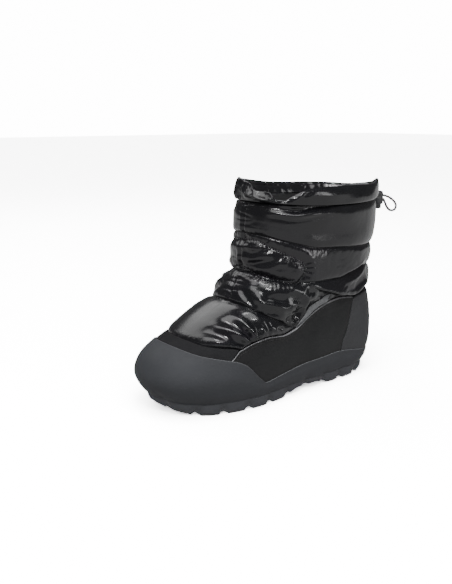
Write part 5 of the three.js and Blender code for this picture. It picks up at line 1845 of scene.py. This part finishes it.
@dataclass
class DrawCord:
    """The elastic drawcord: out of the cuff, through its lock, round in a loop and back."""

    middle: Array
    strands: int = 8
    steps: int = 360
    around: int = 24

    def build(self, on_it: Sequence[bpy.types.Object]) -> bpy.types.Object:
        """Make the cord as a braided tube.

        Args:
            on_it: The pieces that the cord carries; not used.

        Returns:
            The cord.
        """
        path = path_through(np.array(CORD_PLACES) + self.middle, 24)
        step = np.linalg.norm(np.diff(path, axis=0), axis=1)
        walked = np.concatenate([[0], np.cumsum(step)])
        length = walked[-1]
        even = np.linspace(0, length, self.steps)
        centre = np.stack([np.interp(even, walked, path[:, i]) for i in range(3)], -1)
        ahead = np.gradient(centre, axis=0)
        ahead /= np.linalg.norm(ahead, axis=1, keepdims=True)
        side = np.cross(ahead, [1.0, 0, 0])
        side /= np.linalg.norm(side, axis=1, keepdims=True)
        up = np.cross(ahead, side)
        turn = np.linspace(0, TURN, self.around, endpoint=False)
        twist = even[:, None] / (1.9 * CORD_DIAMETER) * TURN / 2
        left = np.cos(self.strands / 2 * (turn + twist))
        right = np.cos(self.strands / 2 * (turn - twist))
        braid = np.maximum(left, right)
        radius = CORD_DIAMETER / 2 - 0.13 + 0.13 * braid
        ring = side[:, None] * np.cos(turn)[None, :, None] + up[:, None] * np.sin(turn)[None, :, None]
        points = centre[:, None] + ring * radius[..., None]
        faces = skin_faces(self.steps, self.around, Ends.POINT)
        piece = add_mesh("boot_draw_cord", points.reshape(-1, 3), faces)
        paint(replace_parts(piece, "draw_cord"), CORD)
        LOG.info("draw cord: %.0f mm", length)
        return piece


class Stitching:
    """Rows of stitches, laid along paths by one node tree."""

    def __init__(self) -> None:
        """Build the node tree with its named inputs."""
        tree = bpy.data.node_groups.new("stitch row", "GeometryNodeTree")
        self.tree = tree
        sockets = (("Path", "NodeSocketGeometry"), ("Pitch", "NodeSocketFloat"), ("Length", "NodeSocketFloat"),
                   ("Radius", "NodeSocketFloat"), ("Thread", "NodeSocketMaterial"))
        self.names = {}
        for name, kind in sockets:
            self.names[name] = tree.interface.new_socket(name, in_out="INPUT", socket_type=kind).identifier
        tree.interface.new_socket("Stitches", in_out="OUTPUT", socket_type="NodeSocketGeometry")
        add, link = tree.nodes.new, tree.links.new
        given, result = add("NodeGroupInput"), add("NodeGroupOutput")
        resample = add("GeometryNodeResampleCurve")
        resample.mode = "LENGTH"
        link(given.outputs["Path"], resample.inputs["Curve"])
        link(given.outputs["Pitch"], resample.inputs["Length"])
        tangent, turned = add("GeometryNodeInputTangent"), add("FunctionNodeAlignRotationToVector")
        turned.axis = "Z"
        link(tangent.outputs[0], turned.inputs["Vector"])
        stitch = add("GeometryNodeMeshUVSphere")
        stitch.inputs["Segments"].default_value = 8
        stitch.inputs["Rings"].default_value = 6
        stitch.inputs["Radius"].default_value = 0.5
        size = add("ShaderNodeCombineXYZ")
        for axis in ("X", "Y"):
            link(given.outputs["Radius"], size.inputs[axis])
        link(given.outputs["Length"], size.inputs["Z"])
        laid = add("GeometryNodeInstanceOnPoints")
        link(resample.outputs["Curve"], laid.inputs["Points"])
        link(stitch.outputs["Mesh"], laid.inputs["Instance"])
        link(turned.outputs["Rotation"], laid.inputs["Rotation"])
        link(size.outputs["Vector"], laid.inputs["Scale"])
        smooth, real, thread = (add("GeometryNodeSetShadeSmooth"), add("GeometryNodeRealizeInstances"),
                                add("GeometryNodeSetMaterial"))
        link(laid.outputs["Instances"], real.inputs["Geometry"])
        link(real.outputs["Geometry"], smooth.inputs["Geometry"])
        link(smooth.outputs["Geometry"], thread.inputs["Geometry"])
        link(given.outputs["Thread"], thread.inputs["Material"])
        link(thread.outputs["Geometry"], result.inputs["Stitches"])

    def row(self, name: str, path: Array, slot: str, pitch: float = 2.8, length: float = 2.0,
            radius: float = 0.55) -> bpy.types.Object:
        """Lay a row of stitches.

        Args:
            name: The piece's name.
            path: The row's points in millimetres, on the surface.
            slot: Not used.
            pitch: From one stitch to the next, in millimetres.
            length: A stitch's length.
            radius: A thread's thickness.

        Returns:
            The stitches, one mesh.
        """
        curve = bpy.data.curves.new(name, "CURVE")
        curve.dimensions = "3D"
        spline = curve.splines.new("POLY")
        spline.points.add(len(path) - 1)
        places = np.concatenate([(path + ORIGIN) * MM, np.ones((len(path), 1))], axis=1)
        spline.points.foreach_set("co", places.ravel())
        guide = bpy.data.objects.new(name + "_path", curve)
        bpy.context.scene.collection.objects.link(guide)
        modifier = guide.modifiers.new("stitches", "NODES")
        modifier.node_group = self.tree
        for key, value in (("Pitch", pitch), ("Length", length), ("Radius", radius)):
            modifier[self.names[key]] = value * MM
        modifier[self.names["Thread"]] = THREAD.material()
        graph = bpy.context.evaluated_depsgraph_get()
        mesh = bpy.data.meshes.new_from_object(guide.evaluated_get(graph))
        bpy.data.objects.remove(guide)
        bpy.data.curves.remove(curve)
        piece = bpy.data.objects.new(name, mesh)
        bpy.context.scene.collection.objects.link(piece)
        return paint(piece, THREAD)


def along_line(line: Line, start: float, end: float, offset: float, count: int = 200) -> Array:
    """Follow a line on the last between two angles, at a distance outside it."""
    angle = np.linspace(start, end, count) % TURN
    level = LAST.level_at(line, angle)
    return LAST.skin(level, angle, np.full(count, offset))


@dataclass
class Studio:
    """The pale floor, the soft light and the camera."""

    azimuth: float = 53.1
    elevation: float = 13.5
    camera_place: tuple[float, float, float] = (0.5717, -0.4783, 0.2802)
    lens: float = 45.31
    white: float = 15.0
    floor_white: float = 7.0
    daylight: float = 5.0
    bounce: float = 0.75
    room: float = 0.12

    def camera(self) -> None:
        """Set the camera at the photograph's angle to the boot."""
        data = bpy.data.cameras.new("camera")
        data.lens = self.lens
        data.sensor_width = 36
        data.clip_start, data.clip_end = 0.02, 60
        made = bpy.data.objects.new("camera", data)
        back = self._way(self.azimuth, self.elevation)
        made.location = self.camera_place
        made.rotation_euler = (-back).to_track_quat("-Z", "Y").to_euler()
        bpy.context.scene.collection.objects.link(made)
        bpy.context.scene.camera = made

    def floor(self) -> None:
        """Lay the floor: one plane to look at, overexposed as in a white studio, one to light the boot."""
        corners = np.array([[-9000, -9000, 0], [9000, -9000, 0], [9000, 9000, 0], [-9000, 9000, 0]], float)
        seen = add_mesh("floor", corners, np.array([[0, 1, 2, 3]]), smooth=False)
        seen.data.materials.append(self._plain("pale floor", "ShaderNodeBsdfDiffuse", "Color", self.floor_white))
        self._show(seen, True)
        glow = add_mesh("floor_glow", corners - [0, 0, 1], np.array([[0, 1, 2, 3]]), smooth=False)
        glow.data.materials.append(self._plain("floor glow", "ShaderNodeEmission", "Color", self.bounce))
        self._show(glow, False)

    def backdrop(self) -> None:
        """Hang a white dome behind everything, for the camera alone."""
        bpy.ops.mesh.primitive_uv_sphere_add(segments=48, ring_count=24, radius=12)
        dome = bpy.context.object
        dome.name = "backdrop"
        dome.data.materials.append(self._plain("backdrop", "ShaderNodeEmission", "Color", self.white))
        self._show(dome, True)

    @staticmethod
    def _plain(name: str, kind: str, socket: str, value: float) -> bpy.types.Material:
        """Make a material of one plain shader."""
        made = bpy.data.materials.new(name)
        made.use_nodes = True
        tree = made.node_tree
        tree.nodes.clear()
        shader, out = tree.nodes.new(kind), tree.nodes.new("ShaderNodeOutputMaterial")
        shader.inputs[socket].default_value = (value, value, value, 1)
        tree.links.new(shader.outputs[0], out.inputs["Surface"])
        return made

    @staticmethod
    def _show(stage: bpy.types.Object, to_camera: bool) -> None:
        """Show a piece of the stage either to the camera alone or to the light alone."""
        stage.visible_camera = to_camera
        stage.visible_diffuse = stage.visible_glossy = not to_camera
        stage.visible_transmission = not to_camera
        stage.visible_shadow = False
        stage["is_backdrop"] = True

    def sky(self) -> None:
        """Light everything evenly from above and ahead, without a reflection of its own."""
        data = bpy.data.lights.new("sky", "SUN")
        data.energy = self.daylight
        data.angle = math.radians(80)
        made = bpy.data.objects.new("sky", data)
        made.visible_glossy = False
        made.rotation_euler = (-self._way(50, 42)).to_track_quat("-Z", "Y").to_euler()
        bpy.context.scene.collection.objects.link(made)

    @staticmethod
    def _way(azimuth: float, elevation: float) -> Vector:
        """Give the way from the boot towards an azimuth and an elevation in degrees."""
        turn, rise = math.radians(azimuth), math.radians(elevation)
        return Vector((math.sin(turn) * math.cos(rise), -math.cos(turn) * math.cos(rise), math.sin(rise)))

    def light(self, name: str, power: float, size: Range, azimuth: float, elevation: float, away: float) -> None:
        """Hang a soft light that shines on the boot.

        Args:
            name: The light's name.
            power: Its power in watts.
            size: Its width and height in metres.
            azimuth: Where it hangs, in degrees round the boot from the toe.
            elevation: How high it hangs, in degrees.
            away: Its distance in metres.
        """
        data = bpy.data.lights.new(name, "AREA")
        data.shape = "RECTANGLE"
        data.size, data.size_y = size
        data.energy = power
        way = self._way(azimuth, elevation)
        made = bpy.data.objects.new(name, data)
        made.location = way * away + Vector((0, 0, 0.1))
        made.rotation_euler = (-way).to_track_quat("-Z", "Y").to_euler()
        bpy.context.scene.collection.objects.link(made)

    def build(self) -> None:
        """Set up the whole studio."""
        self.camera()
        self.floor()
        self.backdrop()
        world = bpy.data.worlds.new("studio")
        world.use_nodes = True
        world.node_tree.nodes["Background"].inputs["Color"].default_value = (1, 1, 1, 1)
        world.node_tree.nodes["Background"].inputs["Strength"].default_value = self.room
        bpy.context.scene.world = world
        self.sky()
        self.light("overhead", 17, (1.5, 1.1), 40, 74, 1.5)
        self.light("front", 8, (0.34, 0.12), 55, 46, 1.6)
        self.light("lamp", 4, (0.28, 0.2), 60, 80, 1.5)
        self.light("left", 9, (1.3, 1.0), -85, 47, 1.6)
        self.light("behind", 4, (0.35, 0.7), 118, 14, 1.6)


def main() -> None:
    """Build the boot on its frame."""
    logging.basicConfig(level=logging.INFO, format="%(message)s")
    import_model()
    Studio().build()
    lock = CordLock()
    held = lock.build()
    DrawCord(lock.middle).build(held)
    upper = Upper().build()
    rubber = Rubber()
    rubber.cup()
    rubber.tread()
    Insole().build()
    surface = Surface(upper)
    for overlay in overlays(surface):
        overlay.build()
    Collar().build()
    stitching = Stitching()
    thick = CURVED_CLEARANCE + PANEL_THICKNESS
    top = above(panel_high, -3.0)
    stitching.row("boot_stitches_outer", along_line(top, 0.95, 2.05, thick), "nubuck")
    stitching.row("boot_stitches_inner", along_line(top, TURN - 2.05, TURN - 0.95, thick), "nubuck")
    for seam, label in ((SEAMS[0], "lobe_upper"), (SEAMS[1], "lobe_lower"), (SEAMS[2], "instep_end")):
        for side in Side:
            name = f"boot_stitches_{label}_{side.name.lower()}"
            stitching.row(name, surface.lay(side, seam.places), "quilted_nylon", 2.6, 1.9, 0.5)
    stitching.row("boot_stitches_front", surface.lay(Side.OUTER, FRONT_SEAM.places), "quilted_nylon", 2.6, 1.9, 0.5)
    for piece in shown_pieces():
        LOG.info("%s: %d faces", piece.name, len(piece.data.polygons))


if __name__ == "__main__":
    main()
